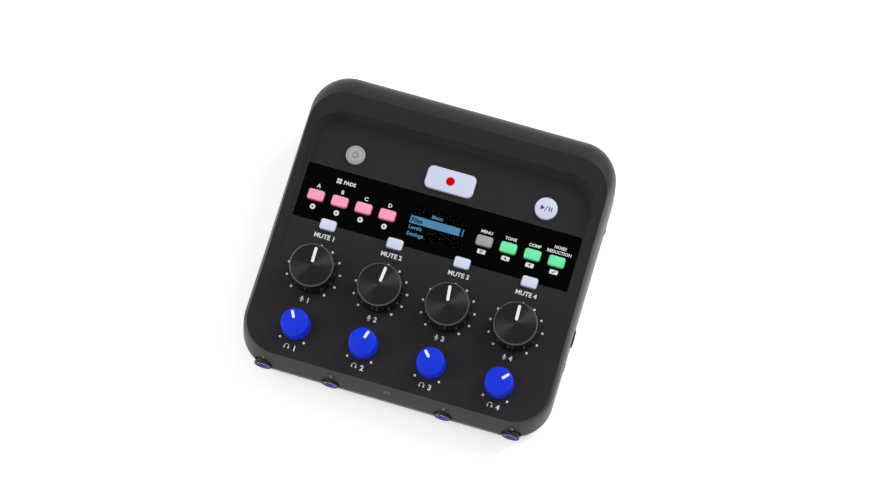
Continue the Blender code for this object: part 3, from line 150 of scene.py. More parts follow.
def grain_group():
    """The texture of a moulded or printed surface: fine pits, a slight unevenness of colour and of gloss."""
    group = bpy.data.node_groups.new("moulded_grain", "ShaderNodeTree")
    for name, kind, value in (
        ("Color", "NodeSocketColor", (0.5, 0.5, 0.5, 1)),
        ("Roughness", "NodeSocketFloat", 0.5),
        ("Grain per Metre", "NodeSocketFloat", 2500),
        ("Unevenness", "NodeSocketFloat", 0.06),
    ):
        socket = group.interface.new_socket(name, in_out="INPUT", socket_type=kind)
        socket.default_value = value
    for name, kind in (("Color", "Color"), ("Roughness", "Float"), ("Height", "Float")):
        group.interface.new_socket(name, in_out="OUTPUT", socket_type="NodeSocket" + kind)
    given = group.nodes.new("NodeGroupInput").outputs
    result = group.nodes.new("NodeGroupOutput").inputs
    place = group.nodes.new("ShaderNodeTexCoord")
    pits = group.nodes.new("ShaderNodeTexNoise")
    pits.inputs["Detail"].default_value = 2
    patches = group.nodes.new("ShaderNodeTexNoise")
    patches.inputs["Scale"].default_value = 60
    patches.inputs["Detail"].default_value = 3
    for noise in (pits, patches):
        group.links.new(place.outputs["Object"], noise.inputs["Vector"])
    group.links.new(given["Grain per Metre"], pits.inputs["Scale"])
    both = maths(group, "ADD", pits.outputs["Fac"], patches.outputs["Fac"])
    centred = maths(group, "SUBTRACT", both, 1)
    swing = maths(group, "MULTIPLY", centred, given["Unevenness"])
    tinted = group.nodes.new("ShaderNodeVectorMath")
    tinted.operation = "SCALE"
    group.links.new(given["Color"], tinted.inputs[0])
    group.links.new(maths(group, "MULTIPLY_ADD", swing, 4, 1), tinted.inputs["Scale"])
    group.links.new(tinted.outputs[0], result["Color"])
    group.links.new(maths(group, "ADD", given["Roughness"], swing), result["Roughness"])
    group.links.new(pits.outputs["Fac"], result["Height"])
    return group


grain = grain_group()


def finish(name, colour, roughness, pits=2500, depth=0.00003, unevenness=0.06, **constants):
    """A Principled material with the grain; the constants go on the shader's own sockets."""
    made = bpy.data.materials.new(name)
    made.use_nodes = True
    tree = made.node_tree
    shader = tree.nodes["Principled BSDF"]
    texture = tree.nodes.new("ShaderNodeGroup")
    texture.node_tree = grain
    texture.inputs["Color"].default_value = (*colour, 1)
    texture.inputs["Roughness"].default_value = roughness
    texture.inputs["Grain per Metre"].default_value = pits
    texture.inputs["Unevenness"].default_value = unevenness
    bump = tree.nodes.new("ShaderNodeBump")
    bump.inputs["Strength"].default_value = 0.6
    bump.inputs["Distance"].default_value = depth
    tree.links.new(texture.outputs["Color"], shader.inputs["Base Color"])
    tree.links.new(texture.outputs["Roughness"], shader.inputs["Roughness"])
    tree.links.new(texture.outputs["Height"], bump.inputs["Height"])
    tree.links.new(bump.outputs["Normal"], shader.inputs["Normal"])
    for socket, value in constants.items():
        shader.inputs[socket.replace("_", " ").title().replace("Ior", "IOR")].default_value = value
    return made


def hand_over(name, mesh, material, body, slot, *stands_for, sharp=30):
    """A finished piece: an object at the origin that rides on its body and stands for its CAD nodes."""
    data = bpy.data.meshes.new(name)
    mesh.to_mesh(data)
    mesh.free()
    data.shade_smooth()
    data.set_sharp_from_angle(angle=math.radians(sharp))
    data.materials.append(material)
    made = bpy.data.objects.new(name, data)
    scene.collection.objects.link(made)
    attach(made, body)
    if stands_for:
        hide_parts(*stands_for)
    return made


QUARTER = math.pi / 2
DECK_SLOPE = math.radians(6.5)
RIM_RISE = math.radians(5)
FOLD_ROW = 0.0080
HALF_WIDTH = 0.0803
HALF_DEPTH = 0.0760
CASE_CORNER = 0.0200
CASE_WALL = 0.0024
PARTING_HEIGHT = 0.0110
SEAM = 0.00015
DECK_MIDDLE = (0, -0.027391, 0.029152)
deck = Matrix.Translation(DECK_MIDDLE) @ Matrix.Rotation(DECK_SLOPE, 4, "X")
fold = deck @ Vector((0, FOLD_ROW, 0))


def top_height(y):
    """Height of the deck's plane in front of the fold, and of the rim's behind it."""
    slope = DECK_SLOPE + (RIM_RISE if y > fold.y else 0)
    return fold.z + (y - fold.y) * math.tan(slope)


def placed(mesh, matrix):
    """A mesh that a matrix has moved."""
    bmesh.ops.transform(mesh, matrix=matrix, verts=mesh.verts)
    return mesh


def rounded_verts(mesh, corner, segments):
    """A flat mesh with its corners rounded."""
    verts = mesh.verts[:]
    bmesh.ops.bevel(
        mesh, geom=verts, affect="VERTICES", offset=corner, segments=segments, profile=0.5, material=-1
    )
    return mesh


def case_loop(half_width, front, rear, corner, fold_y):
    """A rounded rectangle of edges, with a point on each side where the fold crosses it."""
    ring = bmesh.new()
    bmesh.ops.create_grid(ring, x_segments=1, y_segments=1, size=1)
    size = Matrix.Diagonal((half_width, (rear - front) / 2, 1, 1))
    placed(ring, Matrix.Translation((0, (rear + front) / 2, 0)) @ size)
    rounded_verts(ring, corner, 14)
    bmesh.ops.delete(ring, geom=ring.faces[:], context="FACES_ONLY")
    shortest_side = 0.03
    sides = [edge for edge in ring.edges if abs(edge.verts[0].co.y - edge.verts[1].co.y) > shortest_side]
    cut = bmesh.ops.subdivide_edges(ring, edges=sides, cuts=1)
    for part in cut["geom_inner"]:
        if isinstance(part, bmesh.types.BMVert):
            part.co.y = fold_y
    return ring


def bridged(rings):
    """A skin over a row of loops, closed by a face over the last one."""
    mesh = bmesh.new()
    mesh.verts.layers.int.new("ring")
    for index, ring in enumerate(rings):
        own = ring.verts.layers.int.new("ring")
        for vert in ring.verts:
            vert[own] = index
        data = bpy.data.meshes.new("ring")
        ring.to_mesh(data)
        ring.free()
        mesh.from_mesh(data)
        bpy.data.meshes.remove(data)
    number = mesh.verts.layers.int["ring"]
    for index in range(len(rings) - 1):
        pair = [edge for edge in mesh.edges if edge.verts[0][number] == edge.verts[1][number]]
        pair = [edge for edge in pair if edge.verts[0][number] in (index, index + 1)]
        bmesh.ops.bridge_loops(mesh, edges=pair)
    last = [edge for edge in mesh.edges if len(edge.link_faces) < 2]
    last = [edge for edge in last if edge.verts[0][number] == len(rings) - 1]
    bmesh.ops.contextual_create(mesh, geom=last)
    bmesh.ops.recalc_face_normals(mesh, faces=mesh.faces)
    return mesh


FRONT_LEAN = 0.0034
LEAN_POWER = 1.1
REAR_SHOULDER = 0.0129
SIDE_SHOULDER = 0.0025
CREASE_FRONT = -0.0726
CREASE_REAR = 0.0631
CREASE_TURN = 0.0004
CREASE_HALF_WIDTH = 0.0774
CREASE_CORNER = 0.0171
TUB_HALF_WIDTH = 0.0718
TUB_FRONT = -0.0434
TUB_REAR = 0.0786
TUB_CORNER = 0.0141
TUB_ROUND = 0.0008
TUB_STEPS = 11


def upper_skin():
    """The outside of the upper case, from the parting line over the shoulder and the rim to the deck."""
    rings = []
    for share in (0, 0.3, 0.5, 0.62, 0.7, 0.77, 0.83, 0.88, 0.92, 0.955, 0.98, 1):
        front = -HALF_DEPTH + FRONT_LEAN * share ** LEAN_POWER
        rear = HALF_DEPTH - REAR_SHOULDER * share ** 9
        pull = SIDE_SHOULDER * share ** 6
        ring = case_loop(HALF_WIDTH - pull, front, rear, CASE_CORNER - pull, fold.y)
        for vert in ring.verts:
            along = (vert.co.y - front) / (rear - front)
            crease_y = CREASE_FRONT + along * (CREASE_REAR - CREASE_FRONT)
            if abs(vert.co.y - fold.y) < 0.0001:
                crease_y = fold.y
            vert.co.z = PARTING_HEIGHT + share * (top_height(crease_y) - PARTING_HEIGHT)
        rings.append(ring)
    front = CREASE_FRONT + CREASE_TURN
    rear = CREASE_REAR - CREASE_TURN
    ring = case_loop(CREASE_HALF_WIDTH, front, rear, CREASE_CORNER, fold.y)
    for vert in ring.verts:
        vert.co.z = top_height(vert.co.y)
    rings.append(ring)
    corner_x = TUB_HALF_WIDTH - TUB_CORNER
    for step in range(TUB_STEPS, -1, -1):
        share = step / TUB_STEPS
        ring = case_loop(TUB_HALF_WIDTH, TUB_FRONT, TUB_REAR, TUB_CORNER, FOLD_ROW)
        for vert in ring.verts:
            x, y = vert.co.xy
            inner_x = max(-corner_x, min(corner_x, x))
            inner_y = max(TUB_FRONT + TUB_CORNER, min(TUB_REAR - TUB_CORNER, y))
            outward = Vector((x - inner_x, y - inner_y, 0)).normalized()
            depth = max(0, y - FOLD_ROW) * math.tan(RIM_RISE)
            vert.co += outward * share * (TUB_ROUND + 0.55 * depth)
            depth = max(0, vert.co.y - FOLD_ROW) * math.tan(RIM_RISE)
            vert.co.z = depth * share * share * (3 - 2 * share)
        rings.append(placed(ring, deck))
    return bridged(rings)


def settle(piece):
    """Applies the piece's modifiers."""
    bpy.context.view_layer.update()
    graph = bpy.context.evaluated_depsgraph_get()
    data = bpy.data.meshes.new_from_object(piece.evaluated_get(graph))
    piece.modifiers.clear()
    piece.data = data


def carve(piece, operation, mesh):
    """Cuts a solid from the piece, or fuses it on, and applies it."""
    data = bpy.data.meshes.new("tool")
    mesh.to_mesh(data)
    mesh.free()
    tool = bpy.data.objects.new("tool", data)
    scene.collection.objects.link(tool)
    boolean = piece.modifiers.new("carve", "BOOLEAN")
    boolean.operation = operation
    boolean.object = tool
    boolean.solver = "EXACT"
    settle(piece)
    bpy.data.objects.remove(tool)


def flat_faces(piece):
    """Keeps the large flat faces flat in shading, next to the rounds."""
    shade = piece.modifiers.new("flat_faces", "WEIGHTED_NORMAL")
    shade.keep_sharp = True


def raised(mesh, rise, edge, edge_segments):
    """Makes a flat face into a solid, with a round upper edge if edge is given."""
    lifted = bmesh.ops.extrude_face_region(mesh, geom=mesh.faces[:])
    roof = [part for part in lifted["geom"] if isinstance(part, bmesh.types.BMFace)]
    verts = [part for part in lifted["geom"] if isinstance(part, bmesh.types.BMVert)]
    bmesh.ops.translate(mesh, vec=(0, 0, rise), verts=verts)
    if edge:
        rim = [side for face in roof for side in face.edges]
        bmesh.ops.bevel(
            mesh, geom=rim, affect="EDGES", offset=edge, segments=edge_segments, profile=0.5, material=-1
        )
    bmesh.ops.recalc_face_normals(mesh, faces=mesh.faces)
    return mesh


def plate(length, width, corner, bottom, top, segments=5, edge=0, edge_segments=2):
    """A plate with round corners, and a round upper edge if edge is given.

    Sizes that are kept in one tuple follow the order of its arguments.
    """
    mesh = bmesh.new()
    bmesh.ops.create_grid(mesh, x_segments=1, y_segments=1, size=0.5)
    placed(mesh, Matrix.Translation((0, 0, bottom)) @ Matrix.Diagonal((length, width, 1, 1)))
    return raised(rounded_verts(mesh, corner, segments), top - bottom, edge, edge_segments)


def disc(radius, bottom, top, steps=32):
    """A round plate."""
    mesh = bmesh.new()
    bmesh.ops.create_circle(mesh, cap_ends=True, segments=steps, radius=radius)
    bmesh.ops.translate(mesh, vec=(0, 0, bottom), verts=mesh.verts)
    return raised(mesh, top - bottom, 0, 0)


def moved(mesh, x, y, height=0, turn=0):
    """A mesh turned round its own upright axis and moved."""
    return placed(mesh, Matrix.Translation((x, y, height)) @ Matrix.Rotation(turn, 4, "Z"))


def put(mesh, x, y, height=0, turn=0):
    """Moves a mesh that was made round its own origin to its place on the deck."""
    return placed(mesh, deck @ Matrix.Translation((x, y, height)) @ Matrix.Rotation(turn, 4, "Z"))


def on_wall(mesh, x, y, height, axis, turn):
    """Turns a mesh so that its own Z points out of a wall, or into it, and moves it there."""
    return placed(mesh, Matrix.Translation((x, y, height)) @ Matrix.Rotation(turn, 4, axis))


def together(meshes):
    """Several closed meshes in one."""
    whole = bmesh.new()
    for mesh in meshes:
        data = bpy.data.meshes.new("part")
        mesh.to_mesh(data)
        mesh.free()
        whole.from_mesh(data)
        bpy.data.meshes.remove(data)
    return whole


CLEARANCE = 0.0003
COLUMNS = (-0.0525, -0.0175, 0.0175, 0.0525)
FUNCTION_COLUMNS = (0.0250, 0.0375, 0.0500, 0.0625)
KEY = (0.0084, 0.0055, 0.0012)
KEY_PLACES = [(x, 0.0378) for x in (-0.0630, -0.0505, -0.0380, -0.0255)]
KEY_PLACES += [(x, 0.0384) for x in FUNCTION_COLUMNS]
MUTE_KEY = (0.0082, 0.0056, 0.0012)
MUTE_PLACES = [(x, 0.0245) for x in COLUMNS]
POWER_BUTTON = (0.0100, 0.0100, 0.00499)
RECORD_BUTTON = (0.0253, 0.0120, 0.0030)
PLAY_BUTTON = (0.0116, 0.0116, 0.00579)
POWER_PLACE = (-0.0500, 0.0631)
RECORD_PLACE = (0, 0.0631)
PLAY_PLACE = (0.0500, 0.0631)
THROUGH_DECK = (-0.0045, 0.0020)


def key_openings(with_transport):
    """The clear openings round the keys, with the transport buttons' ones if they're wanted."""
    wanted = [(place, KEY, 4) for place in KEY_PLACES] + [(place, MUTE_KEY, 4) for place in MUTE_PLACES]
    if with_transport:
        wanted.append((POWER_PLACE, POWER_BUTTON, 8))
        wanted.append((PLAY_PLACE, PLAY_BUTTON, 8))
        wanted.append((RECORD_PLACE, RECORD_BUTTON, 8))
    found = []
    for place, (length, width, corner), segments in wanted:
        clear = (length + 2 * CLEARANCE, width + 2 * CLEARANCE, corner + CLEARANCE)
        found.append(put(plate(*clear, *THROUGH_DECK, segments), *place))
    return found


JACK_COLUMNS = (-0.0644, -0.0292, 0.0292, 0.0644)
JACK_OPENING = (0.0049, 0, 0.0090)
JACK_INSET = 0.0058
SIDE_ROW = -0.0184
SLIDER_INSET = 0.0042
SLIDER_SLOTS = ((-0.0330, 0.0070), (0.0427, 0.0055))
THROUGH_WALL = (0, 0.0064)
LEFT_OUTSIDE = -HALF_WIDTH - 0.0020
USB_MIDDLE = 0.0099
USB_OPENING = (0.0038, 0.0095, 0.0018)


def side_openings():
    """The jacks', sliders' and USB port's openings, which both halves of the case share."""
    stands = [(x, -HALF_DEPTH + JACK_INSET, PARTING_HEIGHT, "X", QUARTER) for x in JACK_COLUMNS]
    stands.append((HALF_WIDTH - JACK_INSET, SIDE_ROW, PARTING_HEIGHT, "Y", QUARTER))
    found = [on_wall(disc(*JACK_OPENING), *stand) for stand in stands]
    for y, length in SLIDER_SLOTS:
        slot = plate(0.0026, length + 2 * CLEARANCE, 0.0006, *THROUGH_WALL, 3)
        found.append(on_wall(slot, HALF_WIDTH - SLIDER_INSET, y, PARTING_HEIGHT, "Y", QUARTER))
    mouth = plate(*USB_OPENING, *THROUGH_WALL, 6)
    found.append(on_wall(mouth, LEFT_OUTSIDE, SIDE_ROW, USB_MIDDLE, "Y", QUARTER))
    return found


black_case = finish(
    "black_textured_abs",
    (0.0085, 0.0080, 0.0092),
    0.46,
    pits=2600,
    depth=0.00004,
    specular_ior_level=0.15,
    sheen_weight=0.22,
)


def half_case(name, skin, stands_for):
    """A half of the case: a skin that gets its wall on the inside."""
    half = hand_over(name, skin, black_case, "case", "case_plastic", stands_for, sharp=24)
    wall = half.modifiers.new("wall", "SOLIDIFY")
    wall.thickness = CASE_WALL
    wall.offset = -1
    settle(half)
    return half


PAST_THE_CASE = (0.2, 0.2, 0.01)
POST_PLACES = ((-0.0640, -0.0140), (0, -0.0140), (0.0640, -0.0140), (-0.0340, 0.0620), (0.0340, 0.0620))
POST = (0.0025, -0.0107, -0.0012, 16)
SCREW_PLACES = [(x, y) for x in (-0.0715, 0.0715) for y in (-0.0520, 0.0560)]
BOSS_RADIUS = 0.0034
BOSS_BASE = 0.0112
BOSS_TOPS = (0.0235, 0.0357)
BAND_PLACE = (0, 0.0395)
BAND_POCKET = (0.1436, 0.0290, 0.0012, -0.0013, 0.0020)
DISPLAY_PLACE = (-0.0003, 0.0385)
DISPLAY_OPENING = (0.0310, 0.0172, 0.0009)
PHONES_ROW = -0.0289
MIC_SHAFT_HOLE = 0.0044
PHONES_SHAFT_HOLE = 0.0036
SOCKET_MIDDLE = 0.0238
SOCKET_OPENING = (0.0112, 0, 0.0070, 40)
case_top = half_case("upper_case", upper_skin(), "top_shell")
carve(case_top, "DIFFERENCE", plate(*PAST_THE_CASE, 0, PARTING_HEIGHT + SEAM))
posts = [put(disc(*POST), *place) for place in POST_PLACES]
for (x, y), top in zip(SCREW_PLACES, BOSS_TOPS * 2):
    posts.append(moved(disc(BOSS_RADIUS, BOSS_BASE, top, 20), x, y))
carve(case_top, "UNION", together(posts))
carve(case_top, "DIFFERENCE", put(plate(*BAND_POCKET), *BAND_PLACE))
openings = key_openings(True)
for x in COLUMNS:
    openings.append(put(disc(MIC_SHAFT_HOLE, *THROUGH_DECK, 24), x, 0))
    openings.append(put(disc(PHONES_SHAFT_HOLE, *THROUGH_DECK, 24), x, PHONES_ROW))
openings.append(put(plate(*DISPLAY_OPENING, *THROUGH_DECK), *DISPLAY_PLACE))
carve(case_top, "DIFFERENCE", together(openings))
carve(case_top, "DIFFERENCE", together(side_openings()))
sockets = []
for x in COLUMNS:
    sockets.append(on_wall(disc(*SOCKET_OPENING), x, HALF_DEPTH + 0.0020, SOCKET_MIDDLE, "X", QUARTER))
carve(case_top, "DIFFERENCE", together(sockets))
flat_faces(case_top)

# Glossy band
# A strip of black acrylic lies in a pocket across the deck, with openings round the keys. Over the display
# its back isn't painted, so a clear pane shows there.
BAND = (0.1430, 0.0284, 0.0010)
BAND_BACK = -0.0010
WINDOW = (0.0296, 0.0160, 0.0008)
PANE = (0.02956, 0.01596, 0.00078)
PANE_FACE = -0.00001
gloss_black = finish(
    "gloss_black_acrylic",
    (0.0004, 0.0004, 0.0006),
    0.06,
    pits=700,
    depth=0.000002,
    unevenness=0.02,
    specular_ior_level=0.02,
)
clear_acrylic = finish(
    "clear_acrylic",
    (0.9, 0.9, 0.92),
    0.02,
    pits=700,
    depth=0,
    unevenness=0.01,
    ior=1.05,
    transmission_weight=1,
)
strip = put(plate(*BAND, BAND_BACK, 0, edge=0.0002), *BAND_PLACE)
band = hand_over("gloss_band", strip, gloss_black, "case", "band_gloss", "display_window")
window = put(plate(*WINDOW, *THROUGH_DECK), *DISPLAY_PLACE)
carve(band, "DIFFERENCE", together([*key_openings(False), window]))
pane = put(plate(*PANE, BAND_BACK, PANE_FACE), *DISPLAY_PLACE)
hand_over("display_pane", pane, clear_acrylic, "case", "screen")

# Display
# A small blue display module behind the pane, soldered to the panel board. Its picture is generic: a title, a
# bar over the chosen row, two more rows and a mark that shows the place in the list.
SCREEN_HEIGHT = -0.00158
SCREEN_BLUE = (0.075, 0.255, 0.42)
INK = 0.00002
CAP_SHARE = 0.72
LETTER_WEIGHT = 0.035


def coat(material, *nodes):
    """Gives CAD nodes that stay in view a better material."""
    for name in nodes:
        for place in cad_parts[name].material_slots:
            place.material = material


def letters(words, cap, align="CENTER"):
    """Thin flat letters: cap is the height of a capital, whose middle lies at the origin."""
    curve = bpy.data.curves.new("words", "FONT")
    curve.body = words
    curve.size = cap / CAP_SHARE
    curve.align_x = align
    curve.extrude = INK / 2
    curve.offset = cap * LETTER_WEIGHT
    curve.resolution_u = 3
    holder = bpy.data.objects.new("words", curve)
    scene.collection.objects.link(holder)
    bpy.context.view_layer.update()
    data = bpy.data.meshes.new_from_object(holder.evaluated_get(bpy.context.evaluated_depsgraph_get()))
    bpy.data.objects.remove(holder)
    bpy.data.curves.remove(curve)
    mesh = bmesh.new()
    mesh.from_mesh(data)
    bpy.data.meshes.remove(data)
    bmesh.ops.remove_doubles(mesh, verts=mesh.verts, dist=0.0000002)
    bmesh.ops.translate(mesh, vec=(0, -cap / 2, INK / 2), verts=mesh.verts)
    return mesh


def lettering(words, cap, x, y, height=0, align="CENTER"):
    """Letters at their place on the deck."""
    return put(letters(words, cap, align), x, y, height)


display_glass = finish(
    "display_glass",
    (0.0004, 0.0004, 0.0006),
    0.15,
    pits=900,
    depth=0,
    unevenness=0.02,
    specular_ior_level=0.02,
)
coat(display_glass, "display_module")
display_light = finish(
    "display_light",
    (0.002, 0.002, 0.002),
    0.4,
    specular_ior_level=0.1,
    emission_color=(*SCREEN_BLUE, 1),
    emission_strength=1,
)
CHOSEN_ROW = 0.0398
FILM = (0.0001, SCREEN_HEIGHT, SCREEN_HEIGHT + INK, 1)
picture = [put(plate(0.0259, 0.0040, *FILM), -0.00115, CHOSEN_ROW)]
picture.append(put(plate(0.0006, 0.0038, *FILM), 0.0133, CHOSEN_ROW))
picture.append(lettering("Menu", 0.0019, -0.0010, 0.0438, SCREEN_HEIGHT))
for words, row in (("Levels", 0.0360), ("Settings", 0.0325)):
    picture.append(lettering(words, 0.0020, -0.0139, row, SCREEN_HEIGHT, "LEFT"))
hand_over("display_picture", together(picture), display_light, "case", "screen")
chosen = lettering("Files", 0.0024, -0.0136, CHOSEN_ROW, SCREEN_HEIGHT + INK, "LEFT")
hand_over("display_chosen_row", chosen, display_glass, "case", "screen")

# Keys
# Translucent silicone caps moulded in one with their flanges and stems, which hold them under the deck and
# press the switches. The pads shine pink and three function keys green from the lamps below them. Each cap's
# sides are coloured darker than its face: painted shade.
FLANGE_SPREAD = 0.0008
KEY_RISE = 0.0016
SHADED_SIDE_TOP = 0.0007


def key_mesh(length, width, corner, rise, segments=5, edge=0.0007):
    """A rounded cap on its flange and stem, round its own middle."""
    cap = plate(length, width, corner, -0.0030, rise, segments, edge=edge, edge_segments=4)
    spread = 2 * FLANGE_SPREAD
    flange = plate(length + spread, width + spread, corner + FLANGE_SPREAD, -0.0039, -0.0028, segments)
    return together([cap, flange, disc(0.0013, -0.0091, -0.0038, 16)])


def deck_point(tree, point):
    """Where the surface is, measured along the deck from a point of it."""
    place = tree.nodes.new("ShaderNodeTexCoord")
    level = tree.nodes.new("ShaderNodeMapping")
    level.vector_type = "TEXTURE"
    level.inputs["Location"].default_value = deck @ Vector(point)
    level.inputs["Rotation"].default_value = (DECK_SLOPE, 0, 0)
    tree.links.new(place.outputs["Object"], level.inputs["Vector"])
    return level.outputs["Vector"]


def key_finish(name, face, side, glow=0.0):
    """A cap's material, whose colour changes from its side to its face with the height above the deck. The
    darker side colour is painted shade.
    """
    made = finish(name, face, 0.42, pits=1800, depth=0.000012, unevenness=0.03, emission_strength=glow)
    tree = made.node_tree
    texture = next(node for node in tree.nodes if node.type == "GROUP")
    parts = tree.nodes.new("ShaderNodeSeparateXYZ")
    rise = tree.nodes.new("ShaderNodeMapRange")
    rise.inputs["From Min"].default_value = SHADED_SIDE_TOP
    rise.inputs["From Max"].default_value = KEY_RISE
    mixed = tree.nodes.new("ShaderNodeMix")
    mixed.data_type = "RGBA"
    mixed.inputs["A"].default_value = (*side, 1)
    mixed.inputs["B"].default_value = (*face, 1)
    tree.links.new(deck_point(tree, (0, 0, 0)), parts.inputs["Vector"])
    tree.links.new(parts.outputs["Z"], rise.inputs["Value"])
    tree.links.new(rise.outputs["Result"], mixed.inputs["Factor"])
    tree.links.new(mixed.outputs["Result"], texture.inputs["Color"])
    if glow:
        shader = tree.nodes["Principled BSDF"]
        tree.links.new(texture.outputs["Color"], shader.inputs["Emission Color"])
    return made


# The second colour of each cap is its side's, darker than its face: painted shade.
pink_key = key_finish("pink_lit_cap", (0.84, 0.30, 0.46), (0.90, 0.12, 0.33), glow=0.08)
green_key = key_finish("green_lit_cap", (0.14, 0.68, 0.33), (0.03, 0.55, 0.12), glow=0.10)
grey_key = key_finish("grey_cap", (0.32, 0.32, 0.325), (0.24, 0.235, 0.24))
white_key = key_finish("white_cap", (0.63, 0.67, 0.84), (0.42, 0.44, 0.56))
KEY_LOOKS = [(f"pad_button_{number}", pink_key, "button_pink") for number in (1, 2, 3, 4)]
KEY_LOOKS.append(("menu_key", grey_key, "button_grey"))
KEY_LOOKS += [(name, green_key, "button_green") for name in ("tone_key", "compressor_key", "noise_key")]
for (name, colour, slot), place in zip(KEY_LOOKS, KEY_PLACES):
    hand_over(name + "_cap", put(key_mesh(*KEY, KEY_RISE), *place), colour, name, slot, name)
for number, place in enumerate(MUTE_PLACES, 1):
    name = f"mute_button_{number}"
    cap = put(key_mesh(*MUTE_KEY, KEY_RISE), *place)
    hand_over(name + "_cap", cap, white_key, name, "button_white", name)

# Transport buttons
# Power, record and play sit on the strip of deck behind the band. They are made as the keys are, with their
# signs printed on top.
CAP_TOP = 0.0014
PRINT = 0.00003


def arc(radius, width, start, sweep, steps=16):
    """A flat strip bent round an arc, its angles in degrees from the right."""
    mesh = bmesh.new()
    bmesh.ops.create_grid(mesh, x_segments=1, y_segments=1, size=0.5)
    stand = Matrix.Rotation(math.radians(start), 4, "Z") @ Matrix.Translation((radius, 0, PRINT / 2))
    placed(mesh, stand @ Matrix.Rotation(QUARTER, 4, "X") @ Matrix.Diagonal((width, PRINT, 1, 1)))
    bmesh.ops.spin(
        mesh,
        geom=mesh.faces[:] + mesh.edges[:] + mesh.verts[:],
        cent=(0, 0, 0),
        axis=(0, 0, 1),
        angle=math.radians(sweep),
        steps=steps,
    )
    bmesh.ops.recalc_face_normals(mesh, faces=mesh.faces)
    return mesh


def stroke(length, width, x=0, y=0, turn=0):
    """A printed bar, moved and turned in its own plane."""
    return moved(plate(length, width, 0.0001, 0, PRINT, 1), x, y, 0, turn)


def triangle(radius, turn=0):
    """A printed triangle that points to the right, and from there as far as it's turned."""
    return moved(disc(radius, 0, PRINT, 3), 0, 0, 0, turn - QUARTER)


dark_print = finish("dark_print", (0.012, 0.012, 0.014), 0.5, pits=1500, depth=0.000004)
red_print = finish(
    "red_print", (0.50, 0.0005, 0.0005), 0.5, pits=1500, depth=0.000004, specular_ior_level=0.05
)
# The power cap's side colour, half as bright as its face, is painted shade.
power_grey = key_finish("power_cap", (0.40, 0.39, 0.40), (0.20, 0.195, 0.20))
for name, place, sizes, colour, slot in (
    ("power_button", POWER_PLACE, POWER_BUTTON, power_grey, "button_grey"),
    ("record_button", RECORD_PLACE, RECORD_BUTTON, white_key, "button_white"),
    ("play_button", PLAY_PLACE, PLAY_BUTTON, white_key, "button_white"),
):
    cap = key_mesh(*sizes, CAP_TOP, segments=10, edge=0.0006)
    hand_over(name + "_cap", put(cap, *place), colour, name, slot, name)
sign = [arc(0.0014, 0.00032, 125, 290), stroke(0.00032, 0.0016, 0, 0.0013), arc(0.0040, 0.00012, 0, 359, 48)]
hand_over("power_sign", put(together(sign), *POWER_PLACE, CAP_TOP), dark_print, "power_button", "button_grey")
sign = put(disc(0.00225, 0, PRINT, 40), *RECORD_PLACE, CAP_TOP)
hand_over("record_sign", sign, red_print, "record_button", "button_white")
sign = [moved(triangle(0.0015), -0.0021, 0), stroke(0.00035, 0.0034, 0.0001, 0, -0.35)]
sign += [stroke(0.0005, 0.0026, x) for x in (0.0017, 0.0028)]
hand_over("play_sign", put(together(sign), *PLAY_PLACE, CAP_TOP), dark_print, "play_button", "button_white")

# Knobs
# The microphone knobs are turned from black anodised bar, with fine rings on the face and a chamfered top
# edge whose lighter grey is a painted highlight, and the phones knobs are moulded in blue. Each is pressed on
# the shaft of its potentiometer, and a white pointer lies in its face.
MIC_ANGLES = (-1, 5, -7, -2.5)
PHONES_ANGLES = (-28, 17, -42, 42.5)
RING_PITCH = 0.00045
RING_DEPTH = RING_PITCH * 0.075


def turned(profile, steps=72, closed=False):
    """A solid of revolution from its profile of radii and heights in millimetres."""
    mesh = bmesh.new()
    verts = [mesh.verts.new((radius / 1000, 0, height / 1000)) for radius, height in profile]
    pairs = list(zip(verts, verts[1:]))
    if closed:
        pairs.append((verts[-1], verts[0]))
    edges = [mesh.edges.new(pair) for pair in pairs]
    bmesh.ops.spin(
        mesh, geom=verts + edges, cent=(0, 0, 0), axis=(0, 0, 1), angle=math.tau, steps=steps, use_merge=True
    )
    bmesh.ops.remove_doubles(mesh, verts=mesh.verts, dist=0.0000005)
    bmesh.ops.recalc_face_normals(mesh, faces=mesh.faces)
    return mesh


def spun_finish(name, x):
    """Black anodised metal with turning marks: rings round the knob's own axis."""
    made = finish(name, (0.005, 0.005, 0.0055), 0.28, pits=1500, depth=0.000005, specular_ior_level=0.16)
    tree = made.node_tree
    bump = next(node for node in tree.nodes if node.type == "BUMP")
    flat = tree.nodes.new("ShaderNodeVectorMath")
    flat.operation = "MULTIPLY"
    flat.inputs[1].default_value = (1, 1, 0)
    tree.links.new(deck_point(tree, (x, 0, 0)), flat.inputs[0])
    radius = tree.nodes.new("ShaderNodeVectorMath")
    radius.operation = "LENGTH"
    tree.links.new(flat.outputs[0], radius.inputs[0])
    wave = maths(tree, "SINE", maths(tree, "MULTIPLY", radius.outputs["Value"], math.tau / RING_PITCH))
    marks = tree.nodes.new("ShaderNodeBump")
    marks.inputs["Strength"].default_value = 1
    marks.inputs["Distance"].default_value = RING_DEPTH
    tree.links.new(wave, marks.inputs["Height"])
    tree.links.new(marks.outputs["Normal"], bump.inputs["Normal"])
    return made


def pointer(inner, outer, width, face, x, y, degrees):
    """A white bar on a knob's face, from one radius to another, turned clockwise from the top."""
    bar = plate(width, outer - inner, width * 0.49, face - 0.0001, face + 0.00004, 6)
    bar = moved(bar, 0, (inner + outer) / 2)
    return put(moved(bar, 0, 0, 0, -math.radians(degrees)), x, y)


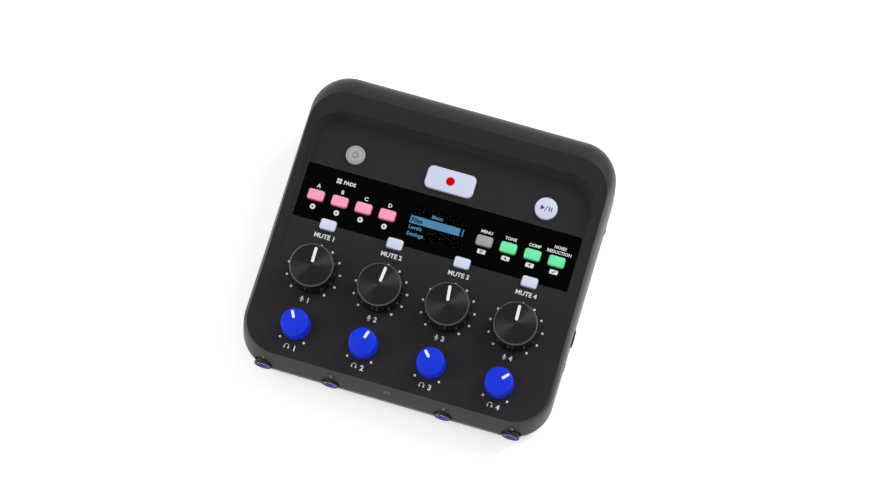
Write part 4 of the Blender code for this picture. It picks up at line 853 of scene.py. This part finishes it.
MIC_PROFILE = [(0, 11.3), (3.3, 11.3), (3.3, 3.8), (10.2, 3.8), (10.4, 0.6), (11.55, 0.6), (11.75, 0.8)]
MIC_PROFILE += [(11.70, 1.6), (11.05, 13.1), (10.98, 13.45), (10.45, 13.95), (10.2, 13.98), (0, 13.98)]
MIC_EDGE = [(11.03, 13.30), (10.98, 13.55), (10.55, 14.0), (10.40, 14.0), (10.30, 13.90)]
MIC_POINTER = (0.0014, 0.0093, 0.0015, 0.01398)
PHONES_PROFILE = [(0, 8.3), (2.5, 8.3), (2.5, 3.2), (6.3, 3.2), (6.4, 0.6), (7.3, 0.6), (7.5, 0.8)]
PHONES_PROFILE += [(7.45, 1.4), (6.92, 9.5), (6.86, 9.85), (6.70, 10.15), (6.45, 10.38)]
PHONES_PROFILE += [(6.1, 10.5), (0, 10.5)]
PHONES_POINTER = (0.0017, 0.0059, 0.0014, 0.0105)
# The knobs' edge ring is lighter grey than the black body: a painted highlight on the chamfer.
edge_painted_highlight = finish("knob_edge_painted_highlight", (0.055, 0.055, 0.058), 0.32, pits=1500, depth=0.000004)
pointer_white = finish("pointer_white", (0.80, 0.80, 0.82), 0.45, pits=1500, depth=0.000004)
knob_blue = finish(
    "blue_knob",
    (0.004, 0.030, 0.66),
    0.38,
    pits=2000,
    depth=0.000012,
    unevenness=0.03,
    specular_ior_level=0.2,
)
for number, (x, mic_angle, phones_angle) in enumerate(zip(COLUMNS, MIC_ANGLES, PHONES_ANGLES), 1):
    name = f"mic_knob_{number}"
    turned_black = spun_finish(f"turned_black_{number}", x)
    hand_over(name + "_body", put(turned(MIC_PROFILE), x, 0), turned_black, name, "knob_black", name)
    # The edge ring carries the painted highlight.
    edge = put(turned(MIC_EDGE, closed=True), x, 0)
    hand_over(name + "_edge", edge, edge_painted_highlight, name, "knob_black")
    line = pointer(*MIC_POINTER, x, 0, mic_angle)
    hand_over(name + "_pointer", line, pointer_white, name, "button_white")
    name = f"phones_knob_{number}"
    knob = put(turned(PHONES_PROFILE, 56), x, PHONES_ROW)
    hand_over(name + "_body", knob, knob_blue, name, "knob_blue", name)
    line = pointer(*PHONES_POINTER, x, PHONES_ROW, phones_angle)
    hand_over(name + "_pointer", line, pointer_white, name, "button_white")

# Legends
# White pad printing on the deck and the band: numbers, the knobs' scales and the plain signs and words that a
# mixer's controls carry. On the white dots and fields the signs are dark.
SCALE_ENDS = (-140, 140)
SCALE_ANGLES = range(-140, 141, 28)
MIC_SCALE = 0.01342
PHONES_SCALE = 0.00965
DOT = 0.0006
MUTE_WORD_ROW = 0.0185
MIC_SIGN_ROW = -0.0150
PHONES_SIGN_ROW = -0.0400
PAD_LETTER_ROW = 0.0430
PAD_SIGN_ROW = 0.0318
PAD_LABEL_ROW = 0.0481
FUNCTION_SIGN_ROW = 0.0330
white_print = finish("white_print", (0.72, 0.72, 0.75), 0.5, pits=1500, depth=0.000004)
prints = []
darks = []


def dot_at(x, y, radius, degrees):
    """A dot on a knob's scale, clockwise from the top."""
    turn = math.radians(degrees)
    return put(disc(DOT, 0, PRINT, 16), x + radius * math.sin(turn), y + radius * math.cos(turn))


def microphone_sign():
    """A hand microphone: capsule, cradle, stem and foot."""
    shape = [moved(plate(0.0010, 0.0018, 0.00049, 0, PRINT, 6), 0, 0.0005)]
    shape.append(moved(arc(0.0009, 0.0003, 180, 180, 12), 0, 0.0002))
    shape.append(stroke(0.0003, 0.0007, 0, -0.0009))
    shape.append(stroke(0.0012, 0.0003, 0, -0.00125))
    return together(shape)


def headphone_sign():
    """Headphones: the band and two ear cups."""
    shape = [arc(0.00115, 0.0003, 0, 180)]
    for side in (-1, 1):
        shape.append(moved(plate(0.0007, 0.0011, 0.0003, 0, PRINT, 4), side * 0.00105, -0.00055))
    return together(shape)


for number, x in enumerate(COLUMNS, 1):
    prints += [dot_at(x, 0, MIC_SCALE, degrees) for degrees in SCALE_ANGLES]
    prints += [dot_at(x, PHONES_ROW, PHONES_SCALE, degrees) for degrees in SCALE_ENDS]
    prints.append(lettering(f"MUTE {number}", 0.00235, x, MUTE_WORD_ROW))
    prints.append(put(microphone_sign(), x - 0.0015, MIC_SIGN_ROW))
    prints.append(lettering(str(number), 0.0026, x + 0.0017, MIC_SIGN_ROW))
    prints.append(put(headphone_sign(), x - 0.0016, PHONES_SIGN_ROW))
    prints.append(lettering(str(number), 0.0027, x + 0.0025, PHONES_SIGN_ROW - 0.0002))
for letter, (x, y) in zip("ABCD", KEY_PLACES):
    prints.append(lettering(letter, 0.0020, x, PAD_LETTER_ROW))
    prints.append(put(disc(0.0014, 0, PRINT, 28), x, PAD_SIGN_ROW))
    darks.append(put(moved(triangle(0.0008), -0.0001, 0), x, PAD_SIGN_ROW, PRINT))
for x in (-0.0007, 0.0007):
    for y in (-0.0007, 0.0007):
        prints.append(put(stroke(0.0011, 0.0011), -0.0539 + x, PAD_LABEL_ROW + y))
prints.append(lettering("PADS", 0.0019, -0.0515, PAD_LABEL_ROW, align="LEFT"))
for words, x, y in (
    ("MENU", 0.0250, 0.0434),
    ("TONE", 0.0375, 0.0434),
    ("COMP", 0.0500, 0.0434),
    ("NOISE", 0.0625, 0.0458),
    ("REDUCTION", 0.0625, 0.0433),
):
    prints.append(lettering(words, 0.0016, x, y))
for x in FUNCTION_COLUMNS:
    prints.append(put(plate(0.0042, 0.0023, 0.0004, 0, PRINT, 3), x, FUNCTION_SIGN_ROW))
for y in (-0.0006, 0, 0.0006):
    darks.append(put(stroke(0.0019, 0.0003), 0.0250, FUNCTION_SIGN_ROW + y, PRINT))
darks.append(put(triangle(0.0009, QUARTER), 0.0375, 0.0329, PRINT))
darks.append(put(triangle(0.0009, -QUARTER), 0.0500, 0.0331, PRINT))
darks.append(put(stroke(0.0010, 0.00035), 0.0619, 0.0329, PRINT, -QUARTER / 2))
darks.append(put(stroke(0.0018, 0.00035), 0.0628, 0.0331, PRINT + 0.000005, QUARTER / 2))
hand_over("panel_legends", together(prints), white_print, "case", "button_white")
hand_over("legend_signs", together(darks), dark_print, "case", "band_gloss")
FRONT_SIGN_HEIGHT = 0.0182


def front_print(mesh, x):
    """Moves a flat sign to the front wall, which leans back as it rises."""
    rise = top_height(CREASE_FRONT) - PARTING_HEIGHT
    share = (FRONT_SIGN_HEIGHT - PARTING_HEIGHT) / rise
    lean = math.atan(FRONT_LEAN * LEAN_POWER * share ** (LEAN_POWER - 1) / rise)
    back = FRONT_LEAN * share ** LEAN_POWER
    return on_wall(mesh, x, back - HALF_DEPTH, FRONT_SIGN_HEIGHT, "X", QUARTER - lean)


grey_print = finish("grey_print", (0.19, 0.19, 0.21), 0.5, pits=1500, depth=0.000004)
signs = [front_print(letters(str(number), 0.0022), x) for number, x in enumerate(JACK_COLUMNS, 1)]
signs.append(front_print(headphone_sign(), 0))
hand_over("front_legends", together(signs), grey_print, "case", "button_grey")

# Phones jacks
# 3.5 mm jacks moulded in black nylon, with a blue ring in each front one and a sprung nickel sleeve inside.
# Four face the front and one, for a telephone, the right.
JACK_PROFILE = [(0, -11.5), (1.85, -11.5), (1.85, -0.45), (2.05, -0.3), (3.40, -0.3), (3.5, 0.35)]
JACK_PROFILE += [(3.75, 0.6), (4.3, 0.6), (4.55, 0.35), (4.6, -1.0), (3.9, -1.05), (3.9, -5.2)]
JACK_PROFILE += [(3.2, -5.3), (3.2, -13.8), (0, -13.8)]
RING_PROFILE = [(2.02, -0.32), (3.42, -0.32), (3.46, 0.15), (3.3, 0.3), (2.35, 0.3), (2.02, 0.0)]
SLEEVE_PROFILE = [(1.72, -7.5), (1.88, -7.5), (1.88, -0.55), (1.72, -0.7)]
nylon = finish("black_nylon", (0.010, 0.010, 0.011), 0.38, pits=2200, depth=0.000010, specular_ior_level=0.3)
ring_blue = finish("jack_ring_blue", (0.050, 0.030, 0.52), 0.35, pits=2000, depth=0.000006)
nickel = finish(
    "nickel_plate", (0.62, 0.60, 0.56), 0.24, pits=1200, depth=0.000002, unevenness=0.04, metallic=1
)
jacks = [(f"phones_jack_{number}", x, -HALF_DEPTH, "X") for number, x in enumerate(JACK_COLUMNS, 1)]
jacks.append(("phone_in_jack", HALF_WIDTH, SIDE_ROW, "Y"))
for name, x, y, axis in jacks:
    stand = (x, y, PARTING_HEIGHT, axis, QUARTER)
    body = on_wall(turned(JACK_PROFILE, 40), *stand)
    hand_over(name + "_body", body, nylon, "case", "case_plastic", name)
    if axis == "X":
        ring = on_wall(turned(RING_PROFILE, 40, closed=True), *stand)
        hand_over(name + "_ring", ring, ring_blue, "case", "knob_blue")
    sleeve = on_wall(turned(SLEEVE_PROFILE, 24, closed=True), *stand)
    hand_over(name + "_sleeve", sleeve, nickel, "case", "steel")

# Microphone sockets
# Round three-pin sockets for a microphone plug: a glass-filled nylon body with a nickel shell in its groove,
# three sprung contacts and a latch that the thumb presses. They stand on the rear board.
SOCKET_PROFILE = [(0, -0.8), (7.5, -0.8), (7.85, -1.15), (7.9, -12.5), (9.65, -12.5), (9.7, -0.5)]
SOCKET_PROFILE += [(9.95, -0.05), (10.6, -0.05), (10.88, -0.35), (10.88, -24), (0, -24)]
SHELL_PROFILE = [(9.38, -12.3), (9.66, -12.3), (9.66, -0.9), (9.38, -1.2)]
CONTACT_PROFILE = [(0.98, -9.5), (1.26, -9.5), (1.26, -1.3), (0.98, -1.5)]
PIN_CIRCLE = 0.0043
PIN_TURNS = [math.tau * third / 3 + QUARTER for third in range(3)]
PIN_PLACES = [(PIN_CIRCLE * math.cos(turn), PIN_CIRCLE * math.sin(turn)) for turn in PIN_TURNS]
PIN_HOLE = (0.0013, -0.0105, 0.0010, 20)
KEYWAY = (0.0022, 0.0030, 0.0008, -0.0120, 0.0010, 3)
KEYWAY_ROW = 0.0079
LATCH = (0.0046, 0.0020, 0.0007, -0.0060, -0.0003, 5)
LATCH_ROW = -0.00865
BLOCK = (0.0170, 0.0090, 0.0006, 0.0069, SOCKET_MIDDLE, 2)
BLOCK_ROW = 0.0571
glass_nylon = finish(
    "glass_filled_nylon", (0.012, 0.012, 0.012), 0.5, pits=1800, depth=0.00002, specular_ior_level=0.3
)
for number, x in enumerate(COLUMNS, 1):
    stand = (x, HALF_DEPTH, SOCKET_MIDDLE, "X", -QUARTER)
    name = f"mic_socket_{number}"
    body = on_wall(turned(SOCKET_PROFILE, 64), *stand)
    piece = hand_over(name + "_body", body, glass_nylon, "case", "case_plastic", name)
    holes = [moved(disc(*PIN_HOLE), *place) for place in PIN_PLACES]
    holes.append(moved(plate(*KEYWAY), 0, KEYWAY_ROW))
    carve(piece, "DIFFERENCE", on_wall(together(holes), *stand))
    carve(piece, "UNION", moved(plate(*BLOCK), x, BLOCK_ROW))
    metal = [turned(SHELL_PROFILE, 64, closed=True)]
    metal += [moved(turned(CONTACT_PROFILE, 20, closed=True), *place) for place in PIN_PLACES]
    metal.append(moved(plate(*LATCH, edge=0.0003), 0, LATCH_ROW))
    hand_over(name + "_metal", on_wall(together(metal), *stand), nickel, "case", "steel")

# USB port and card socket
# On the left, standing on the jack board: a drawn steel USB shell with its black tongue, and behind a thin
# slot the steel card socket, which stays as the CAD made it.
USB_FACE = -0.0795
USB_SHELL = (0.0032, 0.0089, 0.00155, -0.0074, 0, 6)
USB_MOUTH = (0.0026, 0.0083, 0.00125, -0.0062, 0.0010, 6)
USB_TONGUE = (0.0007, 0.0066, 0.0003, -0.0070, -0.0008, 3)
stand = (USB_FACE, SIDE_ROW, USB_MIDDLE, "Y", -QUARTER)
shell = on_wall(plate(*USB_SHELL, edge=0.0001, edge_segments=1), *stand)
port = hand_over("usb_port_shell", shell, nickel, "case", "steel", "usb_port")
carve(port, "DIFFERENCE", on_wall(plate(*USB_MOUTH), *stand))
tongue = on_wall(plate(*USB_TONGUE, edge=0.0001), *stand)
hand_over("usb_port_tongue", tongue, nylon, "case", "case_plastic")
coat(nickel, "card_socket")

# Switch sliders
# Two small sliders on the right, moulded in black nylon. Each has a tab with three grip ribs and a plate that
# runs behind the wall and keeps dust out.
TAB_HEIGHT = 0.0020
SLIDER_INNER = 0.0765
SLIDER_REACH = 0.0042
for name, y, length, span in (
    ("call_switch_slider", -0.0340, 0.0050, 0.0090),
    ("mode_switch_slider", 0.04145, 0.0030, 0.0075),
):
    shape = [plate(0.0038, span, 0.0004, 0, 0.0010, 3)]
    shape.append(plate(TAB_HEIGHT, length, 0.0004, 0, SLIDER_REACH - 0.0003, 3, edge=0.0002))
    for step in (-1, 0, 1):
        rib = plate(TAB_HEIGHT - 0.0005, 0.0004, 0.00019, SLIDER_REACH - 0.0006, SLIDER_REACH, 3, edge=0.0001)
        shape.append(moved(rib, 0, step * length * 0.3))
    tab = on_wall(together(shape), SLIDER_INNER, y, PARTING_HEIGHT, "Y", QUARTER)
    hand_over(name + "_tab", tab, nylon, name, "rubber", name)

# Lower case
# The lower moulding, in the same black ABS: its sides tuck in towards the table, and its underside has the
# battery bay, four screws in their wells and the recesses for the feet.
UNDERSIDE = 0.0016
BELOW = 0.0010
TUCK = 0.0045
SIDE_POINTS_ROW = -0.0190
BAY_ROW = 0.0250
BAY_RIM = (0.1178, 0.0236, 0.0016, 0.0030, 0.0054)
BAY_BOX = (0.1094, 0.0184, 0.0016, 0.0040, 0.0200)
BAY_HOLLOW = (0.1062, 0.0152, 0.0003, BELOW, 0.0184, 2)
DOOR_REBATE = (0.1142, 0.0197, 0.0005, BELOW, 0.00375, 2)
SCREW_WELL = (0.0027, BELOW, 0.0034, 28)
FOOT_RECESS = (0.0066, BELOW, 0.0021, 40)
FOOT_PLACES = [(x, y) for x in (-0.0610, 0.0610) for y in (-0.0580, 0.0580)]
CARD_SLOT = (0.0013, 0.0117, 0.0005)
CARD_ROW = -0.0330
CARD_HEIGHT = 0.0092


def lower_skin():
    """The outside of the lower case, from the parting line down to the underside."""
    rings = []
    top = PARTING_HEIGHT - SEAM / 2
    for share in (0, 0.2, 0.4, 0.55, 0.67, 0.77, 0.85, 0.91, 0.96, 0.99, 1):
        run = TUCK * (0.55 * share ** 2.6 + 0.45 * share ** 12)
        corner = CASE_CORNER - 0.4 * run
        ring = case_loop(HALF_WIDTH - run, run - HALF_DEPTH, HALF_DEPTH - run, corner, SIDE_POINTS_ROW)
        bmesh.ops.translate(ring, vec=(0, 0, top - share * (top - UNDERSIDE)), verts=ring.verts)
        rings.append(ring)
    return bridged(rings)


case_bottom = half_case("lower_case", lower_skin(), "bottom_shell")
carve(case_bottom, "DIFFERENCE", plate(*PAST_THE_CASE, PARTING_HEIGHT - SEAM, 0.02))
inside = [moved(plate(*BAY_RIM), 0, BAY_ROW), moved(plate(*BAY_BOX), 0, BAY_ROW)]
for place in SCREW_PLACES:
    inside.append(moved(disc(BOSS_RADIUS, 0.0030, PARTING_HEIGHT - SEAM / 2, 20), *place))
for mesh in inside:
    carve(case_bottom, "UNION", mesh)
hollows = [moved(plate(*BAY_HOLLOW), 0, BAY_ROW)]
hollows += [moved(disc(*SCREW_WELL), *place) for place in SCREW_PLACES]
hollows += [moved(disc(*FOOT_RECESS), *place) for place in FOOT_PLACES]
carve(case_bottom, "DIFFERENCE", together(hollows))
carve(case_bottom, "DIFFERENCE", moved(plate(*DOOR_REBATE), 0, BAY_ROW))
carve(case_bottom, "DIFFERENCE", together(side_openings()))
card_slot = plate(*CARD_SLOT, *THROUGH_WALL, 3)
carve(case_bottom, "DIFFERENCE", on_wall(card_slot, LEFT_OUTSIDE, CARD_ROW, CARD_HEIGHT, "Y", QUARTER))
flat_faces(case_bottom)
SCREW_PROFILE = [(0, 2.5), (0.45, 2.4), (0.5, 2.05), (1.6, 2.05), (2.2, 2.35), (2.4, 2.8)]
SCREW_PROFILE += [(2.4, 3.4), (0, 3.4)]
SCREW_CROSS = (0.0024, 0.00055, 0.0001, 0.0018, 0.0029, 1)
black_screw = finish("black_screw", (0.03, 0.03, 0.032), 0.3, pits=1500, depth=0.000004, metallic=1)
heads = together([moved(turned(SCREW_PROFILE, 28), *place) for place in SCREW_PLACES])
screws = hand_over("case_screws", heads, black_screw, "case", "steel")
for place in SCREW_PLACES:
    for turn in (QUARTER / 2, -QUARTER / 2):
        carve(screws, "DIFFERENCE", moved(plate(*SCREW_CROSS), *place, 0, turn))

# Rubber feet
# Four round feet in black rubber, moulded with a raised ring in the sole. They are glued into shallow
# recesses near the corners of the underside.
FOOT_PROFILE = [(0, 0.25), (4.4, 0.25), (4.8, 0), (5.9, 0), (6.3, 0.12), (6.45, 0.5), (6.45, 2.1), (0, 2.1)]
rubber = finish("black_rubber", (0.012, 0.012, 0.012), 0.8, pits=1400, depth=0.00003, unevenness=0.1)
for number, place in enumerate(FOOT_PLACES, 1):
    name = f"rubber_foot_{number}"
    hand_over(name + "_pad", moved(turned(FOOT_PROFILE, 48), *place), rubber, "case", "rubber", name)

# Battery door
# A flat door moulded in the case's black ABS, with a ribbed finger grip and an arrow. A round hinge edge at
# its front holds it in the lower case.
DOOR_LENGTH = 0.1139
DOOR = (DOOR_LENGTH, 0.0184, 0.0004, UNDERSIDE, 0.0036, 2)
HINGE_LINE = 0.0163
HINGE_HEIGHT = 0.0026
GRIP = (0.0120, 0.0030, 0.0014, BELOW, 0.0024, 4)
GRIP_ROW = 0.0307
RIB = (0.0005, 0.0026, 0.0002, 0.0019, 0.0026, 2)
RIB_PITCH = 0.0020
door_mesh = moved(plate(*DOOR), 0, HINGE_LINE + 0.0092)
door = hand_over("battery_door_panel", door_mesh, black_case, "battery_door", "case_plastic", "battery_door")
barrel = disc(0.0010, 0, DOOR_LENGTH, 20)
barrel = on_wall(barrel, -DOOR_LENGTH / 2, HINGE_LINE, HINGE_HEIGHT, "Y", QUARTER)
carve(door, "UNION", barrel)
grip = moved(plate(*GRIP), 0, GRIP_ROW)
arrow = moved(disc(0.0014, BELOW, 0.0018, 3), 0, 0.0262, 0, math.pi)
carve(door, "DIFFERENCE", together([grip, arrow]))
ribs = [moved(plate(*RIB), step * RIB_PITCH, GRIP_ROW) for step in (-2, -1, 0, 1, 2)]
hand_over("battery_door_ribs", together(ribs), black_case, "battery_door", "case_plastic")

# Boards, cells and shafts
# What shows through an opening or in the bay keeps its CAD shape: green boards, steel shafts and contacts,
# and two cells in their plain sleeves.
board_green = finish("solder_mask", (0.010, 0.075, 0.030), 0.3, pits=500, depth=0.00001, unevenness=0.15)
shaft_steel = finish("turned_steel", (0.52, 0.51, 0.50), 0.32, pits=1500, depth=0.000004, metallic=1)
cell_sleeve = finish("cell_sleeve", (0.16, 0.17, 0.19), 0.32, pits=400, depth=0.000008, unevenness=0.05)
coat(board_green, "panel_board", "jack_board", "rear_board")
coat(shaft_steel, *[f"{kind}_shaft_{number}" for kind in ("mic", "phones") for number in (1, 2, 3, 4)])
coat(nickel, "battery_minus_contact", "battery_plus_contact")
coat(cell_sleeve, "battery_cell_1", "battery_cell_2")
